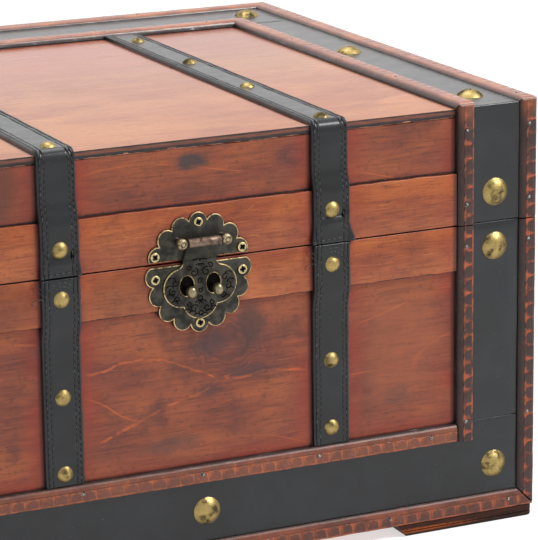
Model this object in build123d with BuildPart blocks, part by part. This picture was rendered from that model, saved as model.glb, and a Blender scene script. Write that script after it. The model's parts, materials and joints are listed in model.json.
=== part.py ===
"""A flat-topped wooden trunk with black leather bands, notched corner mouldings, brass dome nails,
two stitched straps and a flower-shaped hasp clasp. Sizes are in millimetres.

The trunk stands on the floor at z = 0, its front looks along -Y and the origin is under its middle.
"""

import os
from math import asin, cos, radians, sin

from build123d import *

# Walls, all measured over the faces of the boards.
width = 492.0  # left face to right face
depth = 426.0  # front face to back face
foot_height = 8.0
base_height = 205.0  # underside of the walls to the middle of the lid seam
lid_height = 79.0  # middle of the lid seam to the top face
seam_gap = 0.8
wall = 9.0
floor_thick = 6.0
top_thick = 6.0
top_edge_round = 2.0

# Corner mouldings: an L-section on the edges, and one leg of it along the bottom.
moulding = 4.0  # how far it stands out from the boards
moulding_leg = 13.0
moulding_flank = 4.5  # width of the rounded flank at the inner edge
flank_rise_share = 0.17  # how far the flank bulges, as a share of its width
moulding_round = 3.0  # outer corner

# Leather bands beside the mouldings, and the half-round beads that hold down their inner edges.
leather = 1.2
band = 35.5  # what shows between the moulding and the bead
bottom_band = 41.0
back_band = 51.0
bead = 12.5
bead_height = 4.0
bead_round = 3.0
trim_gap = 0.3

# Battens along the seam.
batten = 3.0
lid_batten_height = 36.0
base_batten_height = 31.0
batten_round = 0.8

# Straps: two layers of leather, stitched along both edges.
strap_width = 25.0
strap_thick = 2.4
strap_spacing = 190.0
strap_slope = 10.0  # length over which a strap steps off a batten

# Dome nails.
large_nail = 19.0
large_dome = 4.6
small_nail = 11.4
small_dome = 3.4
spike_length = 4.6
spike = 0.8
corner_nail_inset = 31.0  # from the outer corner to the nails at the ends of a band
top_nail_inset = 33.0  # from the side of the trunk to the nails on top
middle_nail_shift = 4.0  # how far the bottom band's middle nail was driven in to the right of the middle
front_nail_inset = 31.0  # from the front face to the foremost nail on top
seam_nail_below = 17.2
seam_nail_above = 20.1
bottom_nail_height = 33.5  # above the underside of the walls
strap_nail_below = 14.0
strap_nails_above = (18.1, 22.7)  # on the left and the right strap, driven in by eye
low_strap_nails = ((125.6, 74.6), (124.7, 78.0))  # the same, above the underside of the walls
top_strap_nails = (10.5, 125.0, 224.0, 320.0)  # from the front face

# Brads that hold the mouldings and beads.
brad_head = 1.2
brad_dome = 0.7
brad_shank = 0.6
brad_length = 6.6
brad_spacing = 84.0
brad_end = 14.0  # from the end of a moulding to its first brad
brad_step = 6.0  # between the brads on the two sides of a corner, so that their shanks miss

# Clasp: a sixteen-petalled rosette split at the seam, with a hinged hasp over two studs.
petals = 16
petal_circle = 31.4
petal_radius = 6.8
rosette_drop = 8.0  # its middle lies this far below the seam
plate = 1.5
plate_split = 3.4
hasp_gap = 0.5
hasp_thick = 1.5
hasp_neck = 22.0
neck_drop = 15.0  # pin to where the neck reaches the flap
flap_top = 13.0  # pin to the upper edge of the flap
lobe_radius = 13.0
lobe_spacing = 25.4
lobe_drop = 31.0  # pin to the middle of the side lobes
tail_radius = 12.5
tail_drop = 40.2
clasp_pin_above = 14.4  # above the seam
clasp_pin = 1.2
barrel_radius = 2.4
running = 0.05
post_spacing = 31.0
post_radius = 2.9
post_neck = 2.0
post_reach = 12.5  # face of the upper plate to the tip of a post
clasp_pin_over = 0.8
stud_spacing = 18.6
stud_drop = 32.4  # pin to studs
stud_neck = 2.2
stud_ball = 3.0
stud_reach = 12.5  # face of the lower plate to the tip of a stud
padlock_hole = 1.2  # radius of the cross hole
slot_width = 9.4
slot_height = 13.0
slot_lift = 2.4  # middle of a slot above its stud
screw_head = 2.9
screw_shank = 1.3
screw_length = 7.0
screw_dome = 0.9
screw_cross = 0.7
screw_cross_depth = 0.5
side_screw_spacing = 61.0
side_screws_above = 5.4  # the outer screws, from the seam
side_screws_below = 9.5
end_screw_inset = 4.8  # from the rosette's edge to the screws at its top and bottom

# Back hinges, with lugs on the lid leaves that stop the lid past upright.
hinge_width = 44.0
hinge_spacing = 270.0
leaf_height = 22.0
leaf_thick = 1.5
knuckle_radius = 3.0
hinge_pin = 1.2
middle_knuckle = 16.0
knuckle_gap = 0.3
pin_over = 0.8
lug_reach = 9.0
lug_thick = 1.2
lug_width = 8.0
lid_opening = 100.0  # degrees
lug_lean = 5.0  # degrees past the plane of the base leaf when the lid is open
hinge_screw_inset = 6.5  # from the end of a leaf
hinge_screw_drop = 7.5  # from the free edge of a leaf

# Carrying handles on the ends.
handle_width = 24.0
handle_thick = 4.0
handle_reach = 172.0  # over all
handle_foot = 34.0  # flat end on the board
handle_bow = 19.0  # clear space behind the grip
handle_rise = 24.0  # length of the slope from foot to grip
handle_height = 121.0  # above the underside of the walls
handle_nail_inset = 17.0
handle_spike = 9.0

# Feet: flat corner blocks.
foot_length = 106.0
foot_depth = 46.0
foot_inset = 2.0  # behind the outer face of the mouldings
foot_bevel = 7.0
foot_round = 5.0

# Places that follow from the sizes.
seam_z = foot_height + base_height
base_top_z = seam_z - seam_gap / 2
lid_bottom_z = seam_z + seam_gap / 2
top_z = seam_z + lid_height
half_width = width / 2
side_band_inner = moulding_leg - moulding + band  # from a face's corner to the band's inner edge
side_trim = side_band_inner + bead  # from a face's corner to the open wood
bottom_trim_z = foot_height + moulding_leg + bottom_band  # lower edge of the bottom beads
open_wood_z = bottom_trim_z + bead
back_trim = moulding_leg - moulding + back_band + bead
lid_batten_top_z = seam_z + lid_batten_height
base_batten_bottom_z = seam_z - base_batten_height

front_reach = batten + plate + stud_reach
lug_angle = 180.0 + lug_lean - lid_opening  # from upright, with the lid shut
back_reach = (
    batten + knuckle_radius + lug_reach * sin(radians(lug_angle)) + lug_thick / 2 * cos(radians(lug_angle))
)
front_y = -(front_reach + depth + back_reach) / 2 + front_reach
back_y = front_y + depth
mid_y = (front_y + back_y) / 2

X, Y, Z = Vector(1, 0, 0), Vector(0, 1, 0), Vector(0, 0, 1)
SIDES = {"left": -1, "right": 1}
DOWN = (Align.CENTER, Align.CENTER, Align.MAX)
UP = (Align.CENTER, Align.CENTER, Align.MIN)
half = 0.5
overrun = 2 * moulding_leg

os.makedirs("parts", exist_ok=True)


def save(piece, name):
    """Label a finished piece and write it as its own file."""
    piece.part.label = name
    export_step(piece.part, f"parts/{name}.step")


def slab(low, high):
    """A box between two opposite corners, added to the piece being built."""
    low, high = Vector(*low), Vector(*high)
    size = high - low
    with Locations((low + high) * half):
        Box(abs(size.X), abs(size.Y), abs(size.Z))


def cut_mitre(corner, along, others):
    """Cut the end of a moulding where it meets the ones that run along the other edges."""
    for other in others:
        split(bisect_by=Plane(origin=corner, z_dir=along - other), keep=Keep.TOP)


def bulge(start, end, rise):
    """The middle point of an arc over a chord, raised on the left of the way from start to end."""
    start, end = Vector(*start), Vector(*end)
    along = end - start
    return (start + end) * half + Vector(-along.Y, along.X).normalized() * rise


def quarter(start, corner, end):
    """Add a quarter circle that rounds off a square corner."""
    start, corner, end = Vector(*start), Vector(*corner), Vector(*end)
    middle = start + end - corner
    ThreePointArc(start, middle + (corner - middle) * cos(radians(45)), end)


def run_corner(start, end, out_u, out_v):
    """Add an L-section moulding along the edge where two faces meet."""
    start, end = Vector(*start), Vector(*end)
    reach = moulding_leg - moulding
    edge = reach - moulding_flank
    flat = moulding - moulding_round
    flank_rise = moulding_flank * flank_rise_share
    with BuildSketch(Plane(origin=start, x_dir=out_u, z_dir=out_u.cross(out_v))) as section:
        with BuildLine():
            Line((0, 0), (-reach, 0))
            ThreePointArc((-reach, 0), bulge((-reach, 0), (-edge, moulding), flank_rise), (-edge, moulding))
            Line((-edge, moulding), (flat, moulding))
            quarter((flat, moulding), (moulding, moulding), (moulding, flat))
            Line((moulding, flat), (moulding, -edge))
            ThreePointArc((moulding, -edge), bulge((moulding, -edge), (0, -reach), flank_rise), (0, -reach))
            Line((0, -reach), (0, 0))
        make_face()
    extrude(section.sketch, amount=(end - start).length, dir=(end - start).normalized())


def run_strip(start, end, out, inward):
    """Add a flat moulding from start to end, with its rounded edge at the start line."""
    start, end = Vector(*start), Vector(*end)
    along = end - start
    flank = moulding_leg - moulding_flank
    with BuildSketch(Plane(origin=start, x_dir=inward, z_dir=inward.cross(out))) as section:
        with BuildLine():
            Line((0, 0), (0, moulding - moulding_round))
            quarter((0, moulding - moulding_round), (0, moulding), (moulding_round, moulding))
            Line((moulding_round, moulding), (flank, moulding))
            ThreePointArc(
                (flank, moulding),
                bulge((flank, moulding), (moulding_leg, 0), moulding_flank * flank_rise_share),
                (moulding_leg, 0),
            )
            Line((moulding_leg, 0), (0, 0))
        make_face()
    extrude(section.sketch, amount=along.length, dir=along.normalized())


def run_bead(start, end, out):
    """Add a half-round bead from start to end, standing out of a face."""
    start, end = Vector(*start), Vector(*end)
    along = (end - start).normalized()
    with BuildSketch(Plane(origin=start, x_dir=out.cross(along), z_dir=along)) as section:
        with BuildLine():
            ThreePointArc((-bead / 2, 0), (0, bead_height), (bead / 2, 0))
            Line((bead / 2, 0), (-bead / 2, 0))
        make_face()
    extrude(section.sketch, amount=(end - start).length, dir=along)


def round_front_edge(radius, stand):
    """Round off what passes over the top front edge and stands out from both boards."""
    edge_y, edge_z = front_y - stand, top_z + stand
    with BuildSketch(Plane.YZ.offset(-width)) as waste:
        with BuildLine():
            quarter((edge_y, edge_z - radius), (edge_y, edge_z), (edge_y + radius, edge_z))
            Line((edge_y + radius, edge_z), (edge_y + radius, edge_z + overrun))
            Line((edge_y + radius, edge_z + overrun), (edge_y - overrun, edge_z + overrun))
            Line((edge_y - overrun, edge_z + overrun), (edge_y - overrun, edge_z - radius))
            Line((edge_y - overrun, edge_z - radius), (edge_y, edge_z - radius))
        make_face()
    extrude(waste.sketch, amount=2 * width, dir=X, mode=Mode.SUBTRACT)


def layer(inner, thickness):
    """The closed outline of a layer that lies on the left of a line of points."""
    outer = []
    for index, point in enumerate(inner):
        before, after = inner[max(index - 1, 0)], inner[min(index + 1, len(inner) - 1)]
        steps = [point - before, after - point]
        directions = [step.normalized() for step in steps if step.length > 0]
        normals = [Vector(-step.Y, step.X) for step in directions]
        mean = (normals[0] + normals[-1]).normalized()
        outer.append(point + mean * (thickness / mean.dot(normals[0])))
    return [*inner, *reversed(outer)]


def run_strap(inner, middle_x):
    """Add a strap whose underside follows a line of (y, z) points."""
    with BuildSketch(Plane.YZ.offset(middle_x - strap_width / 2)) as profile:
        with BuildLine():
            Polyline(*layer([Vector(*point) for point in inner], strap_thick), close=True)
        make_face()
    extrude(profile.sketch, amount=strap_width, dir=X)


def fastener(head, dome, shank, length):
    """A domed head on the XY plane with a plain shank below it."""
    sphere = (head**2 + dome**2) / (2 * dome)
    middle = asin(head / sphere) / 2
    with BuildPart() as piece:
        with BuildSketch(Plane.XZ):
            with BuildLine():
                crown = (sphere * sin(middle), dome - sphere + sphere * cos(middle))
                ThreePointArc((0, dome), crown, (head, 0))
                Polyline((head, 0), (shank, 0), (shank, -length), (0, -length), (0, dome))
            make_face()
        revolve(axis=Axis.Z)
    return piece.part


def places(points, out):
    """Where fasteners enter: their heads look along out."""
    return [Plane(origin=point, z_dir=out).location for point in points]


def drill(piece, fasteners):
    """Bore the holes of all the shanks that pass through the piece."""
    box = piece.part.bounding_box()
    for shank, length, spots in fasteners:
        hits = []
        for spot in spots:
            head, tip = spot.position, (spot * Location((0, 0, -length))).position
            low = Vector(min(head.X, tip.X), min(head.Y, tip.Y), min(head.Z, tip.Z))
            high = Vector(max(head.X, tip.X), max(head.Y, tip.Y), max(head.Z, tip.Z))
            inside = (low.X < box.max.X, low.Y < box.max.Y, low.Z < box.max.Z)
            beyond = (high.X > box.min.X, high.Y > box.min.Y, high.Z > box.min.Z)
            if all(inside) and all(beyond):
                hits.append(spot)
        if hits:
            with Locations(*hits):
                Cylinder(shank, length, align=DOWN, mode=Mode.SUBTRACT)


def put_fasteners(head_part, spots):
    """Add a copy of a fastener at each place."""
    with Locations(*spots):
        add(head_part)


def spaced(start, end):
    """Evenly spaced stations for brads along a moulding."""
    length = abs(end - start) - 2 * brad_end
    gaps = max(1, round(length / brad_spacing))
    low = min(start, end) + brad_end
    return [low + length * station / gaps for station in range(gaps + 1)]


# Lines that the fasteners sit on.
edge_x = half_width + moulding
edge_front_y, edge_back_y = front_y - moulding, back_y + moulding
edge_top_z = top_z + moulding
leather_front_y, leather_x, leather_top_z = front_y - leather, half_width + leather, top_z + leather
batten_front_y, batten_x, batten_back_y = front_y - batten, half_width + batten, back_y + batten
bead_x = half_width - side_trim + bead / 2
bead_front_y, bead_back_y = front_y + side_trim - bead / 2, back_y - side_trim + bead / 2
bead_bottom_z = bottom_trim_z + bead / 2
bead_cross_y = back_y - back_trim + bead / 2
bead_crown = leather + bead_height
mould_mid = moulding_leg / 2 - moulding  # from the corner of the boards to the brads of a moulding
nail_x, top_nail_x = edge_x - corner_nail_inset, edge_x - top_nail_inset
nail_front_y, nail_back_y = edge_front_y + corner_nail_inset, edge_back_y - corner_nail_inset
bottom_nail_z = foot_height + bottom_nail_height
base_nail_z, lid_nail_z = seam_z - seam_nail_below, seam_z + seam_nail_above
strap_xs = (-strap_spacing / 2, strap_spacing / 2)
strap_front_y = batten_front_y - strap_thick
end_top_bead_z = edge_top_z - moulding_leg - trim_gap
back_nail_y = edge_back_y - moulding_leg - back_band / 2
top_nail_ys = (front_y + front_nail_inset, mid_y, back_nail_y)

# Large nails.
base_large_places = places([(x, leather_front_y, bottom_nail_z) for x in (-nail_x, middle_nail_shift, nail_x)], -Y)
base_large_places += places([(x, leather_front_y, base_nail_z) for x in (-nail_x, nail_x)], -Y)
lid_large_places = places([(x, leather_front_y, lid_nail_z) for x in (-nail_x, nail_x)], -Y)
lid_large_places += places([(x, y, leather_top_z) for x in (-top_nail_x, top_nail_x) for y in top_nail_ys], Z)
lid_large_places += places([(0, back_nail_y, leather_top_z)], Z)
for sign in SIDES.values():
    out, face = sign * X, sign * leather_x
    ys = (nail_front_y, nail_back_y)
    base_large_places += places([(face, y, bottom_nail_z) for y in (*ys, mid_y)], out)
    base_large_places += places([(face, y, base_nail_z) for y in ys], out)
    lid_large_places += places([(face, y, lid_nail_z) for y in ys], out)

# Strap nails.
base_strap_places = places([(x, strap_front_y, seam_z - strap_nail_below) for x in strap_xs], -Y)
for x, heights in zip(strap_xs, low_strap_nails):
    base_strap_places += places([(x, front_y - strap_thick, foot_height + height) for height in heights], -Y)
lid_strap_places = places([(x, strap_front_y, seam_z + rise) for x, rise in zip(strap_xs, strap_nails_above)], -Y)
top_strap_ys = [front_y + inset for inset in top_strap_nails]
lid_strap_places += places([(x, y, top_z + strap_thick) for x in strap_xs for y in top_strap_ys], Z)

# Brads.
mould_x = half_width - mould_mid
mould_bottom_z = foot_height + moulding_leg / 2
mould_top_z = top_z - mould_mid
base_rise = spaced(bottom_trim_z, base_top_z)
lid_rise = spaced(lid_bottom_z, top_z)
base_long = spaced(-mould_x, mould_x)
base_deep = spaced(front_y, back_y)
base_brad_places, lid_brad_places = [], []
for sign in SIDES.values():
    x, out = sign * mould_x, sign * X
    base_brad_places += places([(x, edge_front_y, z) for z in base_rise], -Y)
    base_brad_places += places([(x, edge_back_y, z) for z in base_rise], Y)
    base_brad_places += places([(sign * bead_x, front_y - bead_crown, z) for z in base_rise], -Y)
    lid_brad_places += places([(x, edge_front_y, z) for z in lid_rise], -Y)
    lid_brad_places += places([(x, edge_back_y, z) for z in lid_rise], Y)
    lid_brad_places += places([(sign * bead_x, front_y - bead_crown, z) for z in lid_rise], -Y)
    for y in (front_y + mould_mid, back_y - mould_mid):
        base_brad_places += places([(sign * edge_x, y, z - brad_step) for z in base_rise], out)
        lid_brad_places += places([(sign * edge_x, y, z + brad_step) for z in lid_rise[:-1]], out)
    for y in (bead_front_y, bead_back_y):
        face = sign * (half_width + bead_crown)
        base_brad_places += places([(face, y, z) for z in base_rise], out)
        lid_brad_places += places([(face, y, z) for z in spaced(lid_bottom_z, end_top_bead_z)], out)
    base_brad_places += places([(sign * edge_x, y, mould_bottom_z) for y in base_deep], out)
    face = sign * (half_width + bead_crown)
    long_bead = spaced(bead_front_y + bead, bead_back_y - bead)
    base_brad_places += places([(face, y, bead_bottom_z) for y in long_bead], out)
    lid_brad_places += places([(sign * edge_x, y + brad_step, mould_top_z) for y in base_deep[:-1]], out)
    lid_brad_places += places([(x, y, edge_top_z) for y in base_deep], Z)
    top_bead = spaced(front_y, bead_cross_y)
    lid_brad_places += places([(sign * bead_x, y, top_z + bead_crown) for y in top_bead], Z)
front_bead = spaced(bead - bead_x, bead_x - bead)
base_brad_places += places([(x, edge_front_y, mould_bottom_z) for x in base_long], -Y)
base_brad_places += places([(x, edge_back_y, mould_bottom_z) for x in base_long], Y)
base_brad_places += places([(x, front_y - bead_crown, bead_bottom_z) for x in front_bead], -Y)
inner_long = base_long[1:-1]
lid_brad_places += places([(x + brad_step, edge_back_y, mould_top_z) for x in inner_long], Y)
lid_brad_places += places([(x, back_y - mould_mid, edge_top_z) for x in inner_long], Z)
lid_brad_places += places([(x, bead_cross_y, top_z + bead_crown) for x in front_bead], Z)

# Screws of the clasp and hinges.
plate_front_y = batten_front_y - plate
rosette_z = seam_z - rosette_drop
rosette_radius = petal_circle + petal_radius
end_screw = rosette_radius - end_screw_inset
side_xs = (-side_screw_spacing / 2, side_screw_spacing / 2)
upper_screw_places = places([(0, plate_front_y, rosette_z + end_screw)], -Y)
upper_screw_places += places([(x, plate_front_y, seam_z + side_screws_above) for x in side_xs], -Y)
lower_screw_places = places([(0, plate_front_y, rosette_z - end_screw)], -Y)
lower_screw_places += places([(x, plate_front_y, seam_z - side_screws_below) for x in side_xs], -Y)
leaf_back_y = batten_back_y + leaf_thick
hinge_xs = (-hinge_spacing / 2, hinge_spacing / 2)
screw_offset = hinge_width / 2 - hinge_screw_inset
screw_drop = leaf_height - hinge_screw_drop
base_hinge_places, lid_hinge_places = [], []
for x in hinge_xs:
    ends = (x - screw_offset, x + screw_offset)
    base_hinge_places += places([(end, leaf_back_y, seam_z - screw_drop) for end in ends], Y)
    lid_hinge_places += places([(end, leaf_back_y, seam_z + screw_drop) for end in ends], Y)

# Nails of the handles.
handle_z = foot_height + handle_height
handle_nail = handle_reach / 2 - handle_nail_inset
handle_places = []
for sign in SIDES.values():
    face = sign * (half_width + handle_thick)
    nail_ys = (mid_y - handle_nail, mid_y + handle_nail)
    handle_places += places([(face, y, handle_z) for y in nail_ys], sign * X)

base_fasteners = (
    (spike, spike_length, base_large_places + base_strap_places),
    (brad_shank, brad_length, base_brad_places),
    (screw_shank, screw_length, lower_screw_places + base_hinge_places),
    (spike, handle_spike, handle_places),
)
lid_fasteners = (
    (spike, spike_length, lid_large_places + lid_strap_places),
    (brad_shank, brad_length, lid_brad_places),
    (screw_shank, screw_length, upper_screw_places + lid_hinge_places),
)

# Boards of the base.
inner_front_y, inner_back_y = front_y + wall, back_y - wall
inner_x = half_width - wall
for name, low_y, high_y in (("front", front_y, inner_front_y), ("back", inner_back_y, back_y)):
    with BuildPart() as base_wall:
        slab((-half_width, low_y, foot_height), (half_width, high_y, base_top_z))
        drill(base_wall, base_fasteners)
    save(base_wall, f"base_{name}_board")

for side, sign in SIDES.items():
    with BuildPart() as base_end:
        slab((sign * inner_x, inner_front_y, foot_height), (sign * half_width, inner_back_y, base_top_z))
        drill(base_end, base_fasteners)
    save(base_end, f"base_{side}_board")

with BuildPart() as base_floor_board:
    slab((-inner_x, inner_front_y, foot_height), (inner_x, inner_back_y, foot_height + floor_thick))
save(base_floor_board, "base_floor_board")

# Boards of the lid.
lid_wall_top_z = top_z - top_thick
for name, low_y, high_y in (("front", front_y, inner_front_y), ("back", inner_back_y, back_y)):
    with BuildPart() as lid_wall:
        slab((-half_width, low_y, lid_bottom_z), (half_width, high_y, lid_wall_top_z))
        drill(lid_wall, lid_fasteners)
    save(lid_wall, f"lid_{name}_board")

for side, sign in SIDES.items():
    with BuildPart() as lid_end:
        slab((sign * inner_x, inner_front_y, lid_bottom_z), (sign * half_width, inner_back_y, lid_wall_top_z))
        drill(lid_end, lid_fasteners)
    save(lid_end, f"lid_{side}_board")

with BuildPart() as lid_top_board:
    slab((-half_width, front_y, lid_wall_top_z), (half_width, back_y, top_z))
    fillet(lid_top_board.edges().filter_by(Axis.X).group_by(Axis.Z)[-1].group_by(Axis.Y)[0], top_edge_round)
    drill(lid_top_board, lid_fasteners)
save(lid_top_board, "lid_top_board")

# Battens beside the seam, on all four sides.
front_batten_reach = half_width - side_trim - trim_gap
back_batten_reach = half_width + moulding - moulding_leg - trim_gap
end_batten_inset = side_trim + trim_gap
for name, low_z, high_z, fasteners in (
    ("base", base_batten_bottom_z, base_top_z, base_fasteners),
    ("lid", lid_bottom_z, lid_batten_top_z, lid_fasteners),
):
    with BuildPart() as front_batten:
        slab((-front_batten_reach, batten_front_y, low_z), (front_batten_reach, front_y, high_z))
        fillet(front_batten.edges().filter_by(Axis.X).group_by(Axis.Y)[0], batten_round)
        drill(front_batten, fasteners)
    save(front_batten, f"{name}_front_batten")

    with BuildPart() as back_batten:
        slab((-back_batten_reach, back_y, low_z), (back_batten_reach, batten_back_y, high_z))
        fillet(back_batten.edges().filter_by(Axis.X).group_by(Axis.Y)[-1], batten_round)
        drill(back_batten, fasteners)
    save(back_batten, f"{name}_back_batten")

    with BuildPart() as end_battens:
        slab((half_width, front_y + end_batten_inset, low_z), (batten_x, back_y - end_batten_inset, high_z))
        fillet(end_battens.edges().filter_by(Axis.Y).group_by(Axis.X)[-1], batten_round)
        mirror(about=Plane.YZ)
    save(end_battens, f"{name}_end_battens")

# Leather of the base: a band along the bottom and one up each side, on the front and both ends.
band_start = moulding_leg - moulding
band_top_z = open_wood_z + trim_gap
lower_band_z = foot_height + moulding_leg
with BuildPart() as base_leather:
    reach = half_width - band_start
    slab((-reach, leather_front_y, lower_band_z), (reach, front_y, open_wood_z))
    for sign in SIDES.values():
        near, far = sign * (half_width - side_trim), sign * reach
        slab((near, leather_front_y, band_top_z), (far, front_y, base_top_z))
        face, outer = sign * half_width, sign * leather_x
        slab((face, front_y + band_start, lower_band_z), (outer, back_y - band_start, open_wood_z))
        slab((face, front_y + band_start, band_top_z), (outer, front_y + side_trim, base_top_z))
        slab((face, back_y - side_trim, band_top_z), (outer, back_y - band_start, base_top_z))
    drill(base_leather, base_fasteners)
save(base_leather, "base_leather_bands")

# Leather of the lid: two bands over the front edge, one along the back, and two on each end.
lid_band_top_z = edge_top_z - moulding_leg
back_band_y = back_y - back_trim
with BuildPart() as lid_leather:
    with BuildSketch(Plane.YZ.offset(half_width - side_trim)) as over_edge:
        with BuildLine():
            end_y = back_band_y - trim_gap
            outer_round = top_edge_round + leather
            Line((end_y, top_z), (end_y, leather_top_z))
            Line((end_y, leather_top_z), (leather_front_y + outer_round, leather_top_z))
            quarter(
                (leather_front_y + outer_round, leather_top_z),
                (leather_front_y, leather_top_z),
                (leather_front_y, leather_top_z - outer_round),
            )
            Line((leather_front_y, leather_top_z - outer_round), (leather_front_y, lid_bottom_z))
            Line((leather_front_y, lid_bottom_z), (front_y, lid_bottom_z))
            Line((front_y, lid_bottom_z), (front_y, top_z - top_edge_round))
            quarter(
                (front_y, top_z - top_edge_round),
                (front_y, top_z),
                (front_y + top_edge_round, top_z),
            )
            Line((front_y + top_edge_round, top_z), (end_y, top_z))
        make_face()
    extrude(over_edge.sketch, amount=bead + band, dir=X)
    mirror(about=Plane.YZ)
    slab((-reach, back_band_y, top_z), (reach, back_y - band_start, leather_top_z))
    for sign in SIDES.values():
        face, outer = sign * half_width, sign * leather_x
        slab((face, front_y + band_start, lid_bottom_z), (outer, front_y + side_trim, lid_band_top_z))
        slab((face, back_y - side_trim, lid_bottom_z), (outer, back_y - band_start, lid_band_top_z))
    drill(lid_leather, lid_fasteners)
save(lid_leather, "lid_leather_bands")

# Beads that hold down the inner edges of the leather.
with BuildPart() as base_front_beads:
    reach = bead_x - bead / 2 - trim_gap
    run_bead((-reach, leather_front_y, bead_bottom_z), (reach, leather_front_y, bead_bottom_z), -Y)
    for x in (-bead_x, bead_x):
        run_bead((x, leather_front_y, bottom_trim_z), (x, leather_front_y, base_top_z), -Y)
    drill(base_front_beads, base_fasteners)
save(base_front_beads, "base_front_beads")

with BuildPart() as base_end_beads:
    for sign in SIDES.values():
        face = sign * leather_x
        low_y, high_y = bead_front_y + bead / 2 + trim_gap, bead_back_y - bead / 2 - trim_gap
        run_bead((face, low_y, bead_bottom_z), (face, high_y, bead_bottom_z), sign * X)
        for y in (bead_front_y, bead_back_y):
            run_bead((face, y, bottom_trim_z), (face, y, base_top_z), sign * X)
    drill(base_end_beads, base_fasteners)
save(base_end_beads, "base_end_beads")

bead_edge = (0, front_y - bead_crown, top_z + bead_crown)
with BuildPart() as lid_upright_beads:
    run_bead((bead_x, leather_front_y, lid_bottom_z), (bead_x, leather_front_y, top_z + bead_crown), -Y)
    cut_mitre(bead_edge, -Z, [Y])
    round_front_edge(bead_round, bead_crown)
    for y in (bead_front_y, bead_back_y):
        run_bead((leather_x, y, lid_bottom_z), (leather_x, y, end_top_bead_z), X)
    mirror(about=Plane.YZ)
    drill(lid_upright_beads, lid_fasteners)
save(lid_upright_beads, "lid_upright_beads")

with BuildPart() as side_top_beads:
    run_bead((bead_x, front_y - bead_crown, leather_top_z), (bead_x, bead_cross_y + bead, leather_top_z), Z)
    cut_mitre(bead_edge, Y, [-Z])
    cut_mitre((bead_x, bead_cross_y, leather_top_z), -Y, [-X])
    round_front_edge(bead_round, bead_crown)
    mirror(about=Plane.YZ)
    drill(side_top_beads, lid_fasteners)

with BuildPart() as back_top_bead:
    reach = bead_x + bead
    run_bead((-reach, bead_cross_y, leather_top_z), (reach, bead_cross_y, leather_top_z), Z)
    for sign in SIDES.values():
        cut_mitre((sign * bead_x, bead_cross_y, leather_top_z), -sign * X, [-Y])
    drill(back_top_bead, lid_fasteners)

lid_top_beads = Compound(label="lid_top_beads", children=[*side_top_beads.solids(), *back_top_bead.solids()])
export_step(lid_top_beads, "parts/lid_top_beads.step")

# Corner mouldings of the base and the strips along its bottom edges.
base_edges = (("front", front_y, edge_front_y, -Y), ("back", back_y, edge_back_y, Y))
for name, face_y, outer_y, out_y in base_edges:
    with BuildPart() as base_corners:
        run_corner((half_width, face_y, foot_height), (half_width, face_y, base_top_z), X, out_y)
        cut_mitre((edge_x, outer_y, foot_height), Z, [-X, -out_y])
        mirror(about=Plane.YZ)
        drill(base_corners, base_fasteners)
    save(base_corners, f"base_{name}_corner_mouldings")

    with BuildPart() as base_bottom:
        run_strip((-edge_x, face_y, foot_height), (edge_x, face_y, foot_height), out_y, Z)
        for sign in SIDES.values():
            cut_mitre((sign * edge_x, outer_y, foot_height), -sign * X, [Z, -out_y])
        drill(base_bottom, base_fasteners)
    save(base_bottom, f"base_{name}_bottom_moulding")

with BuildPart() as base_end_bottoms:
    run_strip((half_width, edge_front_y, foot_height), (half_width, edge_back_y, foot_height), X, Z)
    cut_mitre((edge_x, edge_front_y, foot_height), Y, [Z, -X])
    cut_mitre((edge_x, edge_back_y, foot_height), -Y, [Z, -X])
    mirror(about=Plane.YZ)
    drill(base_end_bottoms, base_fasteners)
save(base_end_bottoms, "base_end_bottom_mouldings")

# Mouldings of the lid: the corners, the side edges of the top and its back edge.
with BuildPart() as lid_front_corners:
    run_corner((half_width, front_y, lid_bottom_z), (half_width, front_y, edge_top_z), X, -Y)
    cut_mitre((edge_x, edge_front_y, edge_top_z), -Z, [Y])
    round_front_edge(moulding_round, moulding)
    mirror(about=Plane.YZ)
    drill(lid_front_corners, lid_fasteners)
save(lid_front_corners, "lid_front_corner_mouldings")

with BuildPart() as lid_back_corners:
    run_corner((half_width, back_y, lid_bottom_z), (half_width, back_y, edge_top_z), X, Y)
    cut_mitre((edge_x, edge_back_y, edge_top_z), -Z, [-X, -Y])
    mirror(about=Plane.YZ)
    drill(lid_back_corners, lid_fasteners)
save(lid_back_corners, "lid_back_corner_mouldings")

with BuildPart() as lid_side_tops:
    run_corner((half_width, edge_front_y, top_z), (half_width, edge_back_y, top_z), X, Z)
    cut_mitre((edge_x, edge_front_y, edge_top_z), Y, [-Z])
    cut_mitre((edge_x, edge_back_y, edge_top_z), -Y, [-Z, -X])
    round_front_edge(moulding_round, moulding)
    mirror(about=Plane.YZ)
    drill(lid_side_tops, lid_fasteners)
save(lid_side_tops, "lid_side_top_mouldings")

with BuildPart() as lid_back_top:
    run_corner((-edge_x, back_y, top_z), (edge_x, back_y, top_z), Y, Z)
    for sign in SIDES.values():
        cut_mitre((sign * edge_x, edge_back_y, edge_top_z), -sign * X, [-Y, -Z])
    drill(lid_back_top, lid_fasteners)
save(lid_back_top, "lid_back_top_moulding")

# Straps.
edge_cut = top_edge_round * (2 - 2**half)
for side, x in zip(SIDES, strap_xs):
    with BuildPart() as base_strap:
        run_strap(
            [
                (front_y, band_top_z),
                (front_y, base_batten_bottom_z - strap_slope),
                (batten_front_y, base_batten_bottom_z),
                (batten_front_y, base_top_z),
            ],
            x,
        )
        drill(base_strap, base_fasteners)
    save(base_strap, f"base_{side}_strap")

    with BuildPart() as lid_strap:
        run_strap(
            [
                (batten_front_y, lid_bottom_z),
                (batten_front_y, lid_batten_top_z),
                (front_y, lid_batten_top_z + strap_slope),
                (front_y, top_z - edge_cut),
                (front_y + edge_cut, top_z),
                (back_band_y - trim_gap, top_z),
            ],
            x,
        )
        drill(lid_strap, lid_fasteners)
    save(lid_strap, f"lid_{side}_strap")

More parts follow.
